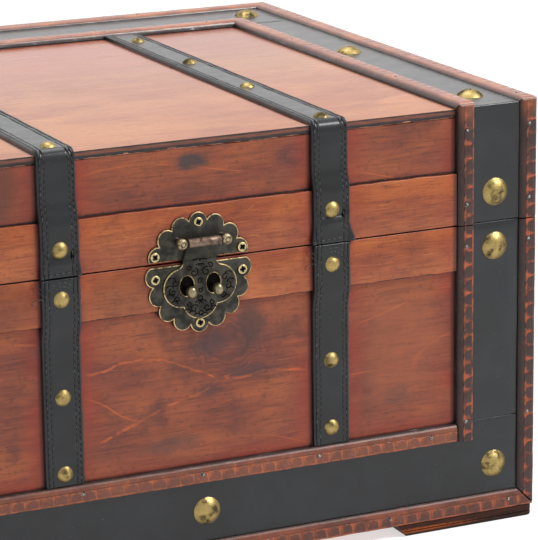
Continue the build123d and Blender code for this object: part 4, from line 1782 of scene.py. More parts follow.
@dataclass
class NotchedStock:
    """Moulding stock with a rounded smooth edge and a row of pressed blocks along the other edge.

    One block long piece is modelled by hand, repeated along the run, placed and cut to length. The
    grooves between the blocks flare where they meet the line that is cut along the row.
    """

    name: str
    width: float
    height: float = 4.0
    pitch: float = 9.8
    flank: float = 3.7
    edge_round: float = 1.7
    row: float = 8.4
    rim: float = 1.9
    step_depth: float = 0.45
    groove_depth: float = 0.5
    flare: tuple[tuple[float, float], ...] = ((0.4, 99.0), (1.1, 1.9), (2.2, 1.0))
    unit: bpy.types.Object = field(init=False)

    def __post_init__(self) -> None:
        """Model the unit."""
        self.unit = self.model_unit()

    def stations(self) -> tuple[float, ...]:
        """Where the rings of a unit lie along it."""
        near = [width for width, reach in self.flare]
        return (*near, self.pitch / 2, *(self.pitch - width for width in reversed(near)))

    def rows(self) -> tuple[float, ...]:
        """Where the lines of a unit lie, from the line along the row of blocks."""
        return (
            -0.3,
            0.0,
            0.35,
            self.flare[2][1],
            self.flare[1][1],
            self.row - self.rim,
            self.row - self.rim + 0.4,
        )

    def from_step(self, place_mm: Vector) -> float:
        """How far a place lies from the line along the row, towards the outer edge."""
        return place_mm.y - (self.width - self.row)

    def above_face(self, place_mm: Vector) -> float:
        """How high a place on the smooth half lies above the face below; elsewhere a large value."""
        return place_mm.z if place_mm.y < self.flank else 9.0

    def groove_width(self, from_step: float) -> float:
        """Half the width of a groove at a distance from the line along the row."""
        return max(width for width, reach in self.flare if from_step <= reach + 0.1)

    def groove_end(self) -> float:
        """How far from the line along the row the grooves are pressed in; beyond it they are only stained."""
        return self.row - self.rim

    def model_unit(self) -> bpy.types.Object:
        """Model one block of a flat moulding: X along, Y from the smooth edge, Z out.

        Returns:
            The unit with open ends.
        """
        width, height = self.width, self.height
        unit = add_box(self.name + "_unit", (0, 0, 0), (self.pitch, width, height))
        with editing(unit):
            pick_edges(unit, lambda a, b: a.y < 0.01 and b.y < 0.01 and min(a.z, b.z) > height - 0.01)
            bpy.ops.mesh.bevel(offset=self.flank * MM, segments=4, affect="EDGES")
            pick_edges(unit, lambda a, b: min(a.y, b.y) > width - 0.01 and min(a.z, b.z) > height - 0.01)
            bpy.ops.mesh.bevel(offset=self.edge_round * MM, segments=3, affect="EDGES")
            start = width - self.row
            ring_cuts(unit, Y, [start + row for row in self.rows()])
            self.press(unit, [(Z, lambda v: v.z > height - 1.5)])
        return unit

    def press(self, unit: bpy.types.Object, sides: Sequence[tuple[Vector, Test]]) -> None:
        """Cut the rings of a unit, open its ends and press the line and the grooves into it.

        Args:
            unit: The unit in edit mode.
            sides: Outward directions, each with a test of the places on that side.
        """
        ring_cuts(unit, X, self.stations())
        pick_faces(unit, lambda middle, normal: abs(normal.x) > 0.9)
        bpy.ops.mesh.delete(type="FACE")
        for out, side in sides:
            pick_verts(unit, lambda v: side(v) and abs(self.from_step(v)) < 0.05)
            bpy.ops.transform.translate(value=-out * self.step_depth * MM)
            for station, reach, share in self.depths():
                def in_groove(v: Vector) -> bool:
                    """Whether a vertex of this side lies in the ring."""
                    near = min(abs(v.x - station), abs(v.x - self.pitch + station))
                    return (
                        side(v)
                        and near < 0.05
                        and 0.2 < self.from_step(v) < min(reach, self.groove_end()) + 0.1
                    )
                pick_verts(unit, in_groove)
                bpy.ops.transform.translate(value=-out * self.groove_depth * share * MM)

    def depths(self) -> list[tuple[float, float, float]]:
        """Describe the rings of a groove.

        Returns:
            For each ring how far it lies from the groove's middle, how far it reaches from the line
            along the row, and its share of the depth.
        """
        rings = [(0.0, 99.0, 1.0)]
        for (width, reach), share in zip(self.flare, (0.6, 0.55, 0.45)):
            rings.append((width, reach, share))
        return rings

    def mark(self, piece: bpy.types.Object) -> None:
        """Note where the grooves and the stained blocks lie, where the low flank is painted dark, and the place
        along the run.

        Args:
            piece: A run of units, before it is placed.
        """
        count = len(piece.data.vertices)
        grooves, blocks, flank_shade, runs = [0.0] * count, [0.0] * count, [0.0] * count, [0.0] * (3 * count)
        for index, vert in enumerate(piece.data.vertices):
            place_mm = vert.co / MM
            near = abs((place_mm.x / self.pitch + 0.5) % 1 - 0.5) * self.pitch
            step = self.from_step(place_mm)
            if step > 0.2 and max(place_mm.y, place_mm.z) > 1:
                block = min(max((near - self.groove_width(step)) / 0.6, 0), 1)
                if self.rim and step > self.row - self.rim + 0.2:
                    block = 0
                blocks[index] = block
                grooves[index] = 1 - block
            # The low part of the smooth flank, painted near-black as shade and, on the top beads, as their
            # black edge.
            flank_shade[index] = min(max((3.3 - self.above_face(place_mm)) / 1.3, 0), 1)
            runs[index * 3 : index * 3 + 3] = vert.co
        piece.data.attributes.new("groove", "FLOAT", "POINT").data.foreach_set("value", grooves)
        piece.data.attributes.new("block", "FLOAT", "POINT").data.foreach_set("value", blocks)
        piece.data.attributes.new("flank", "FLOAT", "POINT").data.foreach_set("value", flank_shade)
        piece.data.attributes.new("run", "FLOAT_VECTOR", "POINT").data.foreach_set("vector", runs)

    def run(self, name: str, length: float, matrix: Matrix) -> bpy.types.Object:
        """Lay out a run of the stock, somewhat longer than asked.

        Args:
            name: The run's name.
            length: How long it has to be.
            matrix: Where it goes: X along, Y across and Z out.

        Returns:
            The run with open ends, to be cut to length.
        """
        piece = copy_of(self.unit, name)
        apply_modifier(
            piece,
            "ARRAY",
            count=math.ceil(length / self.pitch) + 1,
            use_relative_offset=False,
            use_constant_offset=True,
            constant_offset_displace=(self.pitch * MM, 0, 0),
            use_merge_vertices=True,
            merge_threshold=0.02 * MM,
        )
        self.mark(piece)
        place(piece, matrix)
        return piece


@dataclass
class CornerStock(NotchedStock):
    """The same stock as an angle: two legs with the row of blocks round their common edge."""

    leg: float = 9.0
    rim: float = 0.0
    edge_round: float = 2.6

    def from_step(self, place_mm: Vector) -> float:
        """How far a place lies from the line along the row, towards the common edge."""
        return min(place_mm.y, place_mm.z) - (self.height - self.row)

    def groove_end(self) -> float:
        """The grooves end where the rounding of the common edge begins."""
        return self.row - self.edge_round

    def above_face(self, place_mm: Vector) -> float:
        """Measure how high a place on a smooth half lies above the face below.

        Args:
            place_mm: The place in the unit.

        Returns:
            The height, or a large value away from the smooth halves.
        """
        if min(place_mm.y, place_mm.z) > self.flank - self.leg:
            return 9.0
        return max(place_mm.y, place_mm.z)

    def rows(self) -> tuple[float, ...]:
        """Where the lines of a unit lie, from the line along the row of blocks."""
        return (
            -0.3,
            0.0,
            0.35,
            self.flare[2][1],
            self.flare[1][1],
            self.groove_end(),
            self.groove_end() + 0.4,
        )

    def model_unit(self) -> bpy.types.Object:
        """Model one block of an angle: X along, Y and Z out of the two faces.

        Returns:
            The unit with open ends.
        """
        height, leg = self.height, self.leg
        unit = add_box(self.name + "_unit", (0, -leg, 0), (self.pitch, height, height))
        with editing(unit):
            ring_cuts(unit, Y, (0,))
            pick_faces(unit, lambda middle, normal: normal.z < -0.9 and middle.y > 0)
            bpy.ops.mesh.extrude_region_move(TRANSFORM_OT_translate={"value": (0, 0, -leg * MM)})
            pick_edges(unit, lambda a, b: min(a.y, b.y, a.z, b.z) > height - 0.01)
            bpy.ops.mesh.bevel(offset=self.edge_round * MM, segments=4, affect="EDGES")
            pick_edges(unit, lambda a, b: max(a.y, b.y) < 0.01 - leg and min(a.z, b.z) > height - 0.01)
            bpy.ops.mesh.bevel(offset=self.flank * MM, segments=4, affect="EDGES")
            pick_edges(unit, lambda a, b: max(a.z, b.z) < 0.01 - leg and min(a.y, b.y) > height - 0.01)
            bpy.ops.mesh.bevel(offset=self.flank * MM, segments=4, affect="EDGES")
            start = height - self.row
            for axis in (Y, Z):
                ring_cuts(unit, axis, [start + row for row in self.rows()])
            upper = (Z, lambda v: v.z > height - 1.5 and v.z >= v.y)
            outer = (Y, lambda v: v.y > height - 1.5 and v.y > v.z)
            self.press(unit, [upper, outer])
        return unit


def axes(origin: Sequence[float], along: Vector, across: Vector, out: Vector) -> Matrix:
    """A matrix with named axes.

    Args:
        origin: Where its zero lies, in millimetres.
        along: Its X axis.
        across: Its Y axis.
        out: Its Z axis.

    Returns:
        The matrix in metres.
    """
    matrix = Matrix((along, across, out)).transposed().to_4x4()
    matrix.translation = Vector(origin) * MM
    return matrix


def mitre(
    piece: bpy.types.Object,
    corner: Sequence[float],
    along: Vector,
    others: Sequence[Vector],
    gap: float = 0.08,
) -> None:
    """Cut the end of a run where it meets the runs along the other edges.

    Args:
        piece: The run.
        corner: The outer corner where they meet.
        along: From the corner along this run.
        others: From the corner along the other runs.
        gap: How far the cut stays away from the joint.
    """
    for other in others:
        keep = (along - other).normalized()
        cut_away(piece, Vector(corner) + keep * gap, keep)


def round_over(piece: bpy.types.Object, stand: float, radius: float) -> None:
    """Round what passes over the top front edge, with a few cuts.

    Args:
        piece: The run.
        stand: How far it stands out from the boards.
        radius: Radius of the rounding.
    """
    centre = Vector((0, SIZES.front - stand + radius, SIZES.top + stand - radius))
    for degrees in (12, 28, 45, 62, 78):
        out = Vector((0, -math.cos(math.radians(degrees)), math.sin(math.radians(degrees))))
        cut_away(piece, centre + out * radius, -out)


def unevenness(piece: bpy.types.Object, size: float, height: float) -> None:
    """Give a surface the gentle waves of handwork.

    Args:
        piece: The piece, with enough vertices.
        size: Size of a wave in millimetres.
        height: Full height of the waves in millimetres.
    """
    texture = bpy.data.textures.new("waves", "CLOUDS")
    texture.noise_scale = size * MM
    apply_modifier(
        piece, "DISPLACE", texture=texture, texture_coords="GLOBAL", strength=height * MM, mid_level=0.5
    )


@dataclass
class Trim:
    """What mouldings and beads have in common."""

    finishes: Finishes

    def stain(self, run: bpy.types.Object, finish: bpy.types.Material) -> None:
        """Give a run its stain."""
        run.data.materials.clear()
        run.data.materials.append(finish)

    def close(self, node: str, runs: list[bpy.types.Object], body: str) -> None:
        """Join the runs of a node, tidy them and put them in its place.

        Args:
            node: The CAD node they stand for.
            runs: The cut runs.
            body: The body they ride on.
        """
        for run in runs:
            if not run.data.materials:
                self.stain(run, self.finishes.moulding)
        piece = join("notched_" + node, runs)
        settle_normals(piece, 0.02)
        unevenness(piece, 16, 0.45)
        smooth(piece, 40)
        dress(piece, self.finishes.moulding, body)
        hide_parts(node)


@dataclass
class Mouldings(Trim):
    """The corner mouldings and bottom strips of the base and the lid."""

    margin: float = 12.0
    open_joint: float = 0.55
    flat: NotchedStock = field(init=False)
    angle: CornerStock = field(init=False)

    def __post_init__(self) -> None:
        """Model the stock."""
        self.flat = NotchedStock("bottom_moulding_stock", SIZES.moulding_leg)
        self.angle = CornerStock("corner_moulding_stock", SIZES.moulding_leg)

    def uprights(self, end: str, face: float, outer: float, out: Vector) -> None:
        """Build the corner mouldings of the base and the lid at the front or the back.

        Args:
            end: Front or back.
            face: Where the board's face lies.
            outer: Where the moulding's outer face lies.
            out: Out of the face.
        """
        start = (SIZES.half_width, face, SIZES.foot - self.margin)
        base = self.angle.run("base_upright", SIZES.base_top - start[2], axes(start, Z, X, out))
        cut_away(base, (SIZES.edge_x, 0, SIZES.base_top), Vector((0.03, 0, -1)))
        mitre(base, (SIZES.edge_x, outer, SIZES.foot), Z, (-X, -out), self.open_joint)
        self.stain(base, self.finishes.dark_moulding)
        self.close(f"base_{end}_corner_mouldings", [base, mirrored(base, "twin")], "base")
        start = (SIZES.half_width, face, SIZES.lid_bottom - 1)
        lid = self.angle.run("lid_upright", SIZES.edge_top - start[2], axes(start, Z, X, out))
        cut_away(lid, (SIZES.edge_x, 0, SIZES.lid_bottom), Vector((-0.03, 0, 1)))
        self.stain(lid, self.finishes.dark_moulding)
        corner = (SIZES.edge_x, outer, SIZES.edge_top)
        if end == "front":
            mitre(lid, corner, -Z, (Y,))
            round_over(lid, SIZES.moulding, 3.8)
        else:
            mitre(lid, corner, -Z, (-X, -Y))
        self.close(f"lid_{end}_corner_mouldings", [lid, mirrored(lid, "twin")], "lid")

    def bottoms(self) -> None:
        """Build the strips along the bottom edges of the base."""
        level = SIZES.foot + SIZES.moulding_leg
        for end, face, outer, out in (
            ("front", SIZES.front, SIZES.edge_front, -Y),
            ("back", SIZES.back, SIZES.edge_back, Y),
        ):
            start = (-SIZES.edge_x - self.margin, face, level)
            strip = self.flat.run("strip", 2 * (SIZES.edge_x + self.margin), axes(start, X, -Z, out))
            for side in (-1, 1):
                mitre(
                    strip, (side * SIZES.edge_x, outer, SIZES.foot), -side * X, (Z, -out), self.open_joint
                )
            self.close(f"base_{end}_bottom_moulding", [strip], "base")
        start = (SIZES.half_width, SIZES.edge_front - self.margin, level)
        strip = self.flat.run("strip", SIZES.edge_back + self.margin - start[1], axes(start, Y, -Z, X))
        mitre(strip, (SIZES.edge_x, SIZES.edge_front, SIZES.foot), Y, (Z, -X), self.open_joint)
        mitre(strip, (SIZES.edge_x, SIZES.edge_back, SIZES.foot), -Y, (Z, -X), self.open_joint)
        self.close("base_end_bottom_mouldings", [strip, mirrored(strip, "twin")], "base")

    def tops(self) -> None:
        """Build the mouldings along the side and back edges of the lid's top."""
        start = (SIZES.half_width, SIZES.edge_front - self.margin, SIZES.top)
        side = self.angle.run("side_top", SIZES.edge_back + self.margin - start[1], axes(start, Y, X, Z))
        mitre(side, (SIZES.edge_x, SIZES.edge_front, SIZES.edge_top), Y, (-Z,))
        mitre(side, (SIZES.edge_x, SIZES.edge_back, SIZES.edge_top), -Y, (-Z, -X))
        round_over(side, SIZES.moulding, 3.8)
        self.stain(side, self.finishes.top_moulding)
        self.close("lid_side_top_mouldings", [side, mirrored(side, "twin")], "lid")
        start = (-SIZES.edge_x - self.margin, SIZES.back, SIZES.top)
        back = self.angle.run("back_top", 2 * (SIZES.edge_x + self.margin), axes(start, X, Y, Z))
        for side_sign in (-1, 1):
            mitre(
                back,
                (side_sign * SIZES.edge_x, SIZES.edge_back, SIZES.edge_top),
                -side_sign * X,
                (-Y, -Z),
            )
        self.stain(back, self.finishes.top_moulding)
        self.close("lid_back_top_moulding", [back], "lid")

    def build(self) -> None:
        """Build all mouldings and remove the stock."""
        self.uprights("front", SIZES.front, SIZES.edge_front, -Y)
        self.uprights("back", SIZES.back, SIZES.edge_back, Y)
        self.bottoms()
        self.tops()
        for stock in (self.flat, self.angle):
            bpy.data.objects.remove(stock.unit, do_unlink=True)


@dataclass
class Beads(Trim):
    """The narrower notched beads that hold down the inner edges of the leather."""

    flank: float = 3.9
    row: float = 8.1
    edge_round: float = 2.4
    half: float = SIZES.bead / 2
    front: float = SIZES.front - SIZES.leather
    side: float = SIZES.half_width + SIZES.leather
    top: float = SIZES.top + SIZES.leather
    x: float = SIZES.half_width - SIZES.side_trim + half
    near: float = SIZES.front + SIZES.side_trim - half
    far: float = SIZES.back - SIZES.side_trim + half
    cross: float = SIZES.back - SIZES.back_trim + half
    stock: NotchedStock = field(init=False)
    crown: float = field(init=False)
    ys: tuple[float, float] = field(init=False)

    def __post_init__(self) -> None:
        """Model the stock."""
        self.stock = NotchedStock(
            "bead_stock", SIZES.bead, flank=self.flank, row=self.row, edge_round=self.edge_round
        )
        self.crown = SIZES.leather + self.stock.height
        self.ys = (self.near, self.far)

    def length(self, start: Vector, end: Vector, across: Vector, out: Vector) -> bpy.types.Object:
        """Lay one straight bead with square ends.

        Args:
            start: The start of its middle line.
            end: The end of its middle line.
            across: From its smooth edge to its notched edge.
            out: Out of the face it lies on.

        Returns:
            The bead.
        """
        along = (end - start).normalized()
        origin = start - across * self.half - along * self.stock.pitch / 3
        total = (end - start).length + self.stock.pitch
        bead = self.stock.run("bead", total, axes(origin, along, across, out))
        cut_away(bead, start, along)
        cut_away(bead, end, -along)
        return bead

    def base(self) -> None:
        """Build the beads of the base."""
        low, high = SIZES.bottom_trim, SIZES.base_top
        middle = low + self.half
        reach = self.x - self.half - SIZES.gap
        flat = self.length(
            Vector((-reach, self.front, middle)), Vector((reach, self.front, middle)), -Z, -Y
        )
        rise = self.length(Vector((self.x, self.front, low)), Vector((self.x, self.front, high)), X, -Y)
        self.stain(rise, self.finishes.dark_moulding)
        self.stain(flat, self.finishes.pale_moulding)
        self.close("base_front_beads", [flat, rise, mirrored(rise, "twin")], "base")
        near, far = self.ys[0] + self.half + SIZES.gap, self.ys[1] - self.half - SIZES.gap
        runs = [self.length(Vector((self.side, near, middle)), Vector((self.side, far, middle)), -Z, X)]
        for y, across in zip(self.ys, (-Y, Y)):
            runs.append(self.length(Vector((self.side, y, low)), Vector((self.side, y, high)), across, X))
            self.stain(runs[-1], self.finishes.dark_moulding)
        runs += [mirrored(run, "twin") for run in runs]
        self.close("base_end_beads", runs, "base")

    def lid(self) -> None:
        """Build the beads of the lid, which are mitred over its front edge."""
        edge = (0, SIZES.front - self.crown, SIZES.top + self.crown)
        start = Vector((self.x, self.front, SIZES.lid_bottom))
        rise = self.length(start, Vector((self.x, self.front, SIZES.top + self.crown + 2)), X, -Y)
        mitre(rise, edge, -Z, (Y,))
        round_over(rise, self.crown, 4.6)
        runs = [rise]
        top = SIZES.edge_top - SIZES.moulding_leg - SIZES.gap
        for y, across in zip(self.ys, (-Y, Y)):
            start = Vector((self.side, y, SIZES.lid_bottom))
            runs.append(self.length(start, Vector((self.side, y, top)), across, X))
        for run in runs:
            self.stain(run, self.finishes.dark_moulding)
        runs += [mirrored(run, "twin") for run in runs]
        self.close("lid_upright_beads", runs, "lid")
        start = Vector((self.x, SIZES.front - self.crown - 2, self.top))
        side = self.length(start, Vector((self.x, self.cross + self.half + 2, self.top)), X, Z)
        mitre(side, edge, Y, (-Z,))
        mitre(side, (self.x, self.cross, self.top), -Y, (-X,))
        round_over(side, self.crown, 4.6)
        reach = self.x + self.half + 2
        back = self.length(
            Vector((-reach, self.cross, self.top)), Vector((reach, self.cross, self.top)), Y, Z
        )
        for sign in (-1, 1):
            mitre(back, (sign * self.x, self.cross, self.top), -sign * X, (-Y,))
        for run in (side, back):
            self.stain(run, self.finishes.top_moulding)
        self.close("lid_top_beads", [side, mirrored(side, "twin"), back], "lid")

    def build(self) -> None:
        """Build all beads and remove the stock."""
        self.base()
        self.lid()
        bpy.data.objects.remove(self.stock.unit, do_unlink=True)


# Leather: bands, straps and handles.


def bevel_edges(
    piece: bpy.types.Object, test: Callable[[Vector, Vector], bool], width: float, **settings: object
) -> None:
    """Bevel the edges whose two ends pass a test.

    Args:
        piece: The piece in object mode.
        test: Says yes or no to the two ends in millimetres.
        width: Width of the bevel in millimetres.
        settings: Further settings of the bevel.
    """
    settings = {"segments": 3, **settings}
    with editing(piece):
        if pick_edges(piece, test):
            bpy.ops.mesh.bevel(offset=width * MM, affect="EDGES", clamp_overlap=True, **settings)


@dataclass
class LeatherBands:
    """Wide flat bands of leather between the mouldings and the beads."""

    finishes: Finishes
    step: float = 9.0
    end_start: float = 9.0
    end_top: float = 283.0
    skin: float = SIZES.leather
    inner: float = SIZES.half_width - SIZES.side_trim
    outer: float = SIZES.edge_x - SIZES.moulding_leg
    low: float = SIZES.foot + SIZES.moulding_leg
    near: float = SIZES.front + end_start
    far: float = SIZES.back - end_start

    def sheet(self, low: Sequence[float], high: Sequence[float], out: Vector) -> bpy.types.Object:
        """Cut one band, with a grid of edges for its unevenness and softened rims.

        Args:
            low: Lowest corner.
            high: Highest corner.
            out: The side that shows.

        Returns:
            The band.
        """
        sheet = add_box("band", low, high)
        low, high = Vector(low), Vector(high)
        face = (high if sum(out) > 0 else low).dot(Vector([abs(part) for part in out]))
        across = [axis for axis in (X, Y, Z) if abs(axis.dot(out)) < 0.5]

        def on_face(vert: Vector) -> bool:
            """Whether a vertex lies on the outer face."""
            return abs(vert.dot(Vector([abs(part) for part in out])) - face) < 0.01

        bevel_edges(sheet, lambda a, b: on_face(a) and on_face(b), 0.25)
        with editing(sheet):
            for axis in across:
                start, end = low.dot(axis), high.dot(axis)
                count = max(2, round((end - start) / self.step))
                ring_cuts(
                    sheet, axis, [start + (end - start) * index / count for index in range(1, count)]
                )
        return sheet

    def over_edge(self) -> bpy.types.Object:
        """Cut the band that runs up the lid's front and over its top, at the right.

        Returns:
            The band.
        """
        face, top = SIZES.front - self.skin, SIZES.top + self.skin
        band = add_box("band", (self.inner, face, SIZES.lid_bottom), (self.outer, SIZES.front, top))
        depth = SIZES.back - SIZES.back_trim - SIZES.gap - SIZES.front
        with editing(band):
            ring_cuts(band, Z, (SIZES.top,))
            pick_faces(band, lambda middle, normal: normal.y > 0.9 and middle.z > SIZES.top)
            bpy.ops.mesh.extrude_region_move(TRANSFORM_OT_translate={"value": (0, depth * MM, 0)})
            pick_edges(band, lambda a, b: max(a.y, b.y) < face + 0.01 and min(a.z, b.z) > top - 0.01)
            bpy.ops.mesh.bevel(offset=3.4 * MM, segments=6, affect="EDGES")
            ring_cuts(band, Z, range(220, 290, 9))
            ring_cuts(band, Y, range(-205, 140, 9))
            ring_cuts(band, X, range(int(self.inner) + 8, int(self.outer), 8))
        return band

    def close(self, node: str, sheets: list[bpy.types.Object], body: str) -> None:
        """Join the bands of a node and put them in its place.

        Args:
            node: The CAD node they stand for.
            sheets: The bands.
            body: The body they ride on.
        """
        piece = join("soft_" + node, sheets)
        settle_normals(piece)
        unevenness(piece, 28, 0.5)
        smooth(piece, 40)
        dress(piece, self.finishes.band, body)
        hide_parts(node)

    def end_bands(self, low: float, high: float) -> list[bpy.types.Object]:
        """Cut the upright bands of the right end.

        Args:
            low: Their lower end.
            high: Their upper end.

        Returns:
            The bands.
        """
        side = SIZES.half_width
        reach = SIZES.side_trim - self.end_start
        return [
            self.sheet((side, self.near, low), (side + self.skin, self.near + reach, high), X),
            self.sheet((side, self.far - reach, low), (side + self.skin, self.far, high), X),
        ]

    def build(self) -> None:
        """Build the bands of the base and the lid."""
        side, face = SIZES.half_width, SIZES.front - self.skin
        joint = SIZES.open_wood + SIZES.gap
        twins = [
            self.sheet((side, self.near, self.low), (side + self.skin, self.far, SIZES.open_wood), X)
        ]
        twins += self.end_bands(joint, SIZES.base_top)
        twins.append(self.sheet((self.inner, face, joint), (self.outer, SIZES.front, SIZES.base_top), -Y))
        twins += [mirrored(twin, "twin") for twin in twins]
        front = self.sheet((-self.outer, face, self.low), (self.outer, SIZES.front, SIZES.open_wood), -Y)
        self.close("base_leather_bands", [*twins, front], "base")
        twins = [*self.end_bands(SIZES.lid_bottom, self.end_top), self.over_edge()]
        twins += [mirrored(twin, "twin") for twin in twins]
        near = SIZES.back - SIZES.back_trim
        back = self.sheet(
            (-self.outer, near, SIZES.top), (self.outer, self.far, SIZES.top + self.skin), Z
        )
        self.close("lid_leather_bands", [*twins, back], "lid")


@dataclass
class StitchedLeather:
    """Folded leather with rolled rims and two rows of stitches along each edge.

    It is modelled flat, X along, Y out and Z across, and then laid along a route with a curve.
    """

    name: str
    width: float
    thick: float
    route: list[tuple[float, float]]
    turn: Matrix
    step: float = 2.5
    pitch: float = 4.1
    rows: tuple[float, ...] = (2.3, 4.9)

    def length(self) -> float:
        """How long the route is."""
        pairs = zip(self.route, self.route[1:])
        return sum(math.dist(start, end) for start, end in pairs)

    def path(self) -> bpy.types.Object:
        """Draw the route as a flat curve.

        Returns:
            The curve's object.
        """
        curve = bpy.data.curves.new(self.name + "_route", "CURVE")
        curve.dimensions = "2D"
        spline = curve.splines.new("POLY")
        spline.points.add(len(self.route) - 1)
        for point, (across, up) in zip(spline.points, self.route):
            point.co = (across * MM, up * MM, 0, 1)
        path = bpy.data.objects.new(self.name + "_route", curve)
        bpy.context.collection.objects.link(path)
        return path

    def body(self) -> bpy.types.Object:
        """Model the flat leather with its rims and the channels of the stitches.

        Returns:
            The leather.
        """
        half, thick, length = self.width / 2, self.thick, self.length()
        leather = add_box(self.name, (0, 0, -half), (length, thick, half))
        channels = [side * (half - row) for side in (-1, 1) for row in self.rows]
        lines = [side * (half - edge) for side in (-1, 1) for edge in (1.3, 3.6, 6.2)]
        with editing(leather):
            pick_edges(leather, lambda a, b: min(a.y, b.y) > thick - 0.01)
            bpy.ops.mesh.bevel(offset=0.9 * MM, segments=3, affect="EDGES")
            for line in channels:
                ring_cuts(leather, Z, (line - 0.55, line, line + 0.55))
            ring_cuts(leather, Z, lines)
            count = int(length / self.step)
            ring_cuts(leather, X, [length * index / count for index in range(1, count)])
            for line in channels:
                pick_verts(leather, lambda v, line=line: v.y > thick - 0.1 and abs(v.z - line) < 0.1)
                bpy.ops.transform.translate(value=(0, -0.6 * MM, 0))
            pick_verts(leather, lambda v: v.y > thick - 0.1 and half - 1.4 < abs(v.z) < half - 1.2)
            bpy.ops.transform.translate(value=(0, 0.3 * MM, 0))
        return leather

    def stitches(self, rows: Sequence[tuple[float, float, float]]) -> list[bpy.types.Object]:
        """Sew rows of stitches.

        Args:
            rows: For each row its place across, its start and its end.

        Returns:
            The rows.
        """
        sewn = []
        for across, start, end in rows:
            bpy.ops.object.select_all(action="DESELECT")
            spot = Vector((start + 1.6, self.thick - 0.22, across)) * MM
            bpy.ops.mesh.primitive_uv_sphere_add(segments=8, ring_count=6, radius=MM, location=spot)
            stitch = bpy.context.object
            stitch.scale = (1.6, 0.5, 0.62)
            stitch.rotation_euler = (0, 0.12 if across > 0 else -0.12, 0)
            bpy.ops.object.transform_apply(location=True, rotation=True, scale=True)
            apply_modifier(
                stitch,
                "ARRAY",
                count=int((end - start) / self.pitch),
                use_relative_offset=False,
                use_constant_offset=True,
                constant_offset_displace=(self.pitch * MM, 0, 0),
            )
            sewn.append(stitch)
        return sewn

    def edge_rows(self, start: float, end: float) -> list[tuple[float, float, float]]:
        """List the two rows of stitches along each edge, shifted against each other.

        Args:
            start: Where they start along the route.
            end: Where they end.

        Returns:
            For each row its start, its end and its place across the leather.
        """
        half = self.width / 2
        rows = []
        for index, row in enumerate(self.rows):
            shift = index * self.pitch / 2
            rows += [(side * (half - row), start + shift, end) for side in (-1, 1)]
        return rows

    def lay(self, pieces: Sequence[bpy.types.Object]) -> None:
        """Bend flat pieces along the route and turn them into place.

        Args:
            pieces: The leather and its stitches.
        """
        path = self.path()
        for piece in pieces:
            apply_modifier(piece, "CURVE", object=path, deform_axis="POS_X")
            place(piece, self.turn)
        bpy.data.objects.remove(path, do_unlink=True)


def rounded(
    corners: Sequence[tuple[float, float]], radii: Sequence[float], steps: int = 6
) -> list[tuple[float, float]]:
    """Round the corners of a route.

    Args:
        corners: The points of the route.
        radii: The length that each inner corner's arc takes of its two runs.
        steps: Points on each arc.

    Returns:
        The route with an arc in place of each inner corner.
    """
    points = [corners[0]]
    for before, corner, after, reach in zip(corners, corners[1:], corners[2:], radii):
        middle = Vector(corner)
        start = middle + (Vector(before) - middle).normalized() * reach
        end = middle + (Vector(after) - middle).normalized() * reach
        for index in range(steps + 1):
            share = index / steps
            first, second = start.lerp(middle, share), middle.lerp(end, share)
            points.append(tuple(first.lerp(second, share)))
    points.append(corners[-1])
    return points


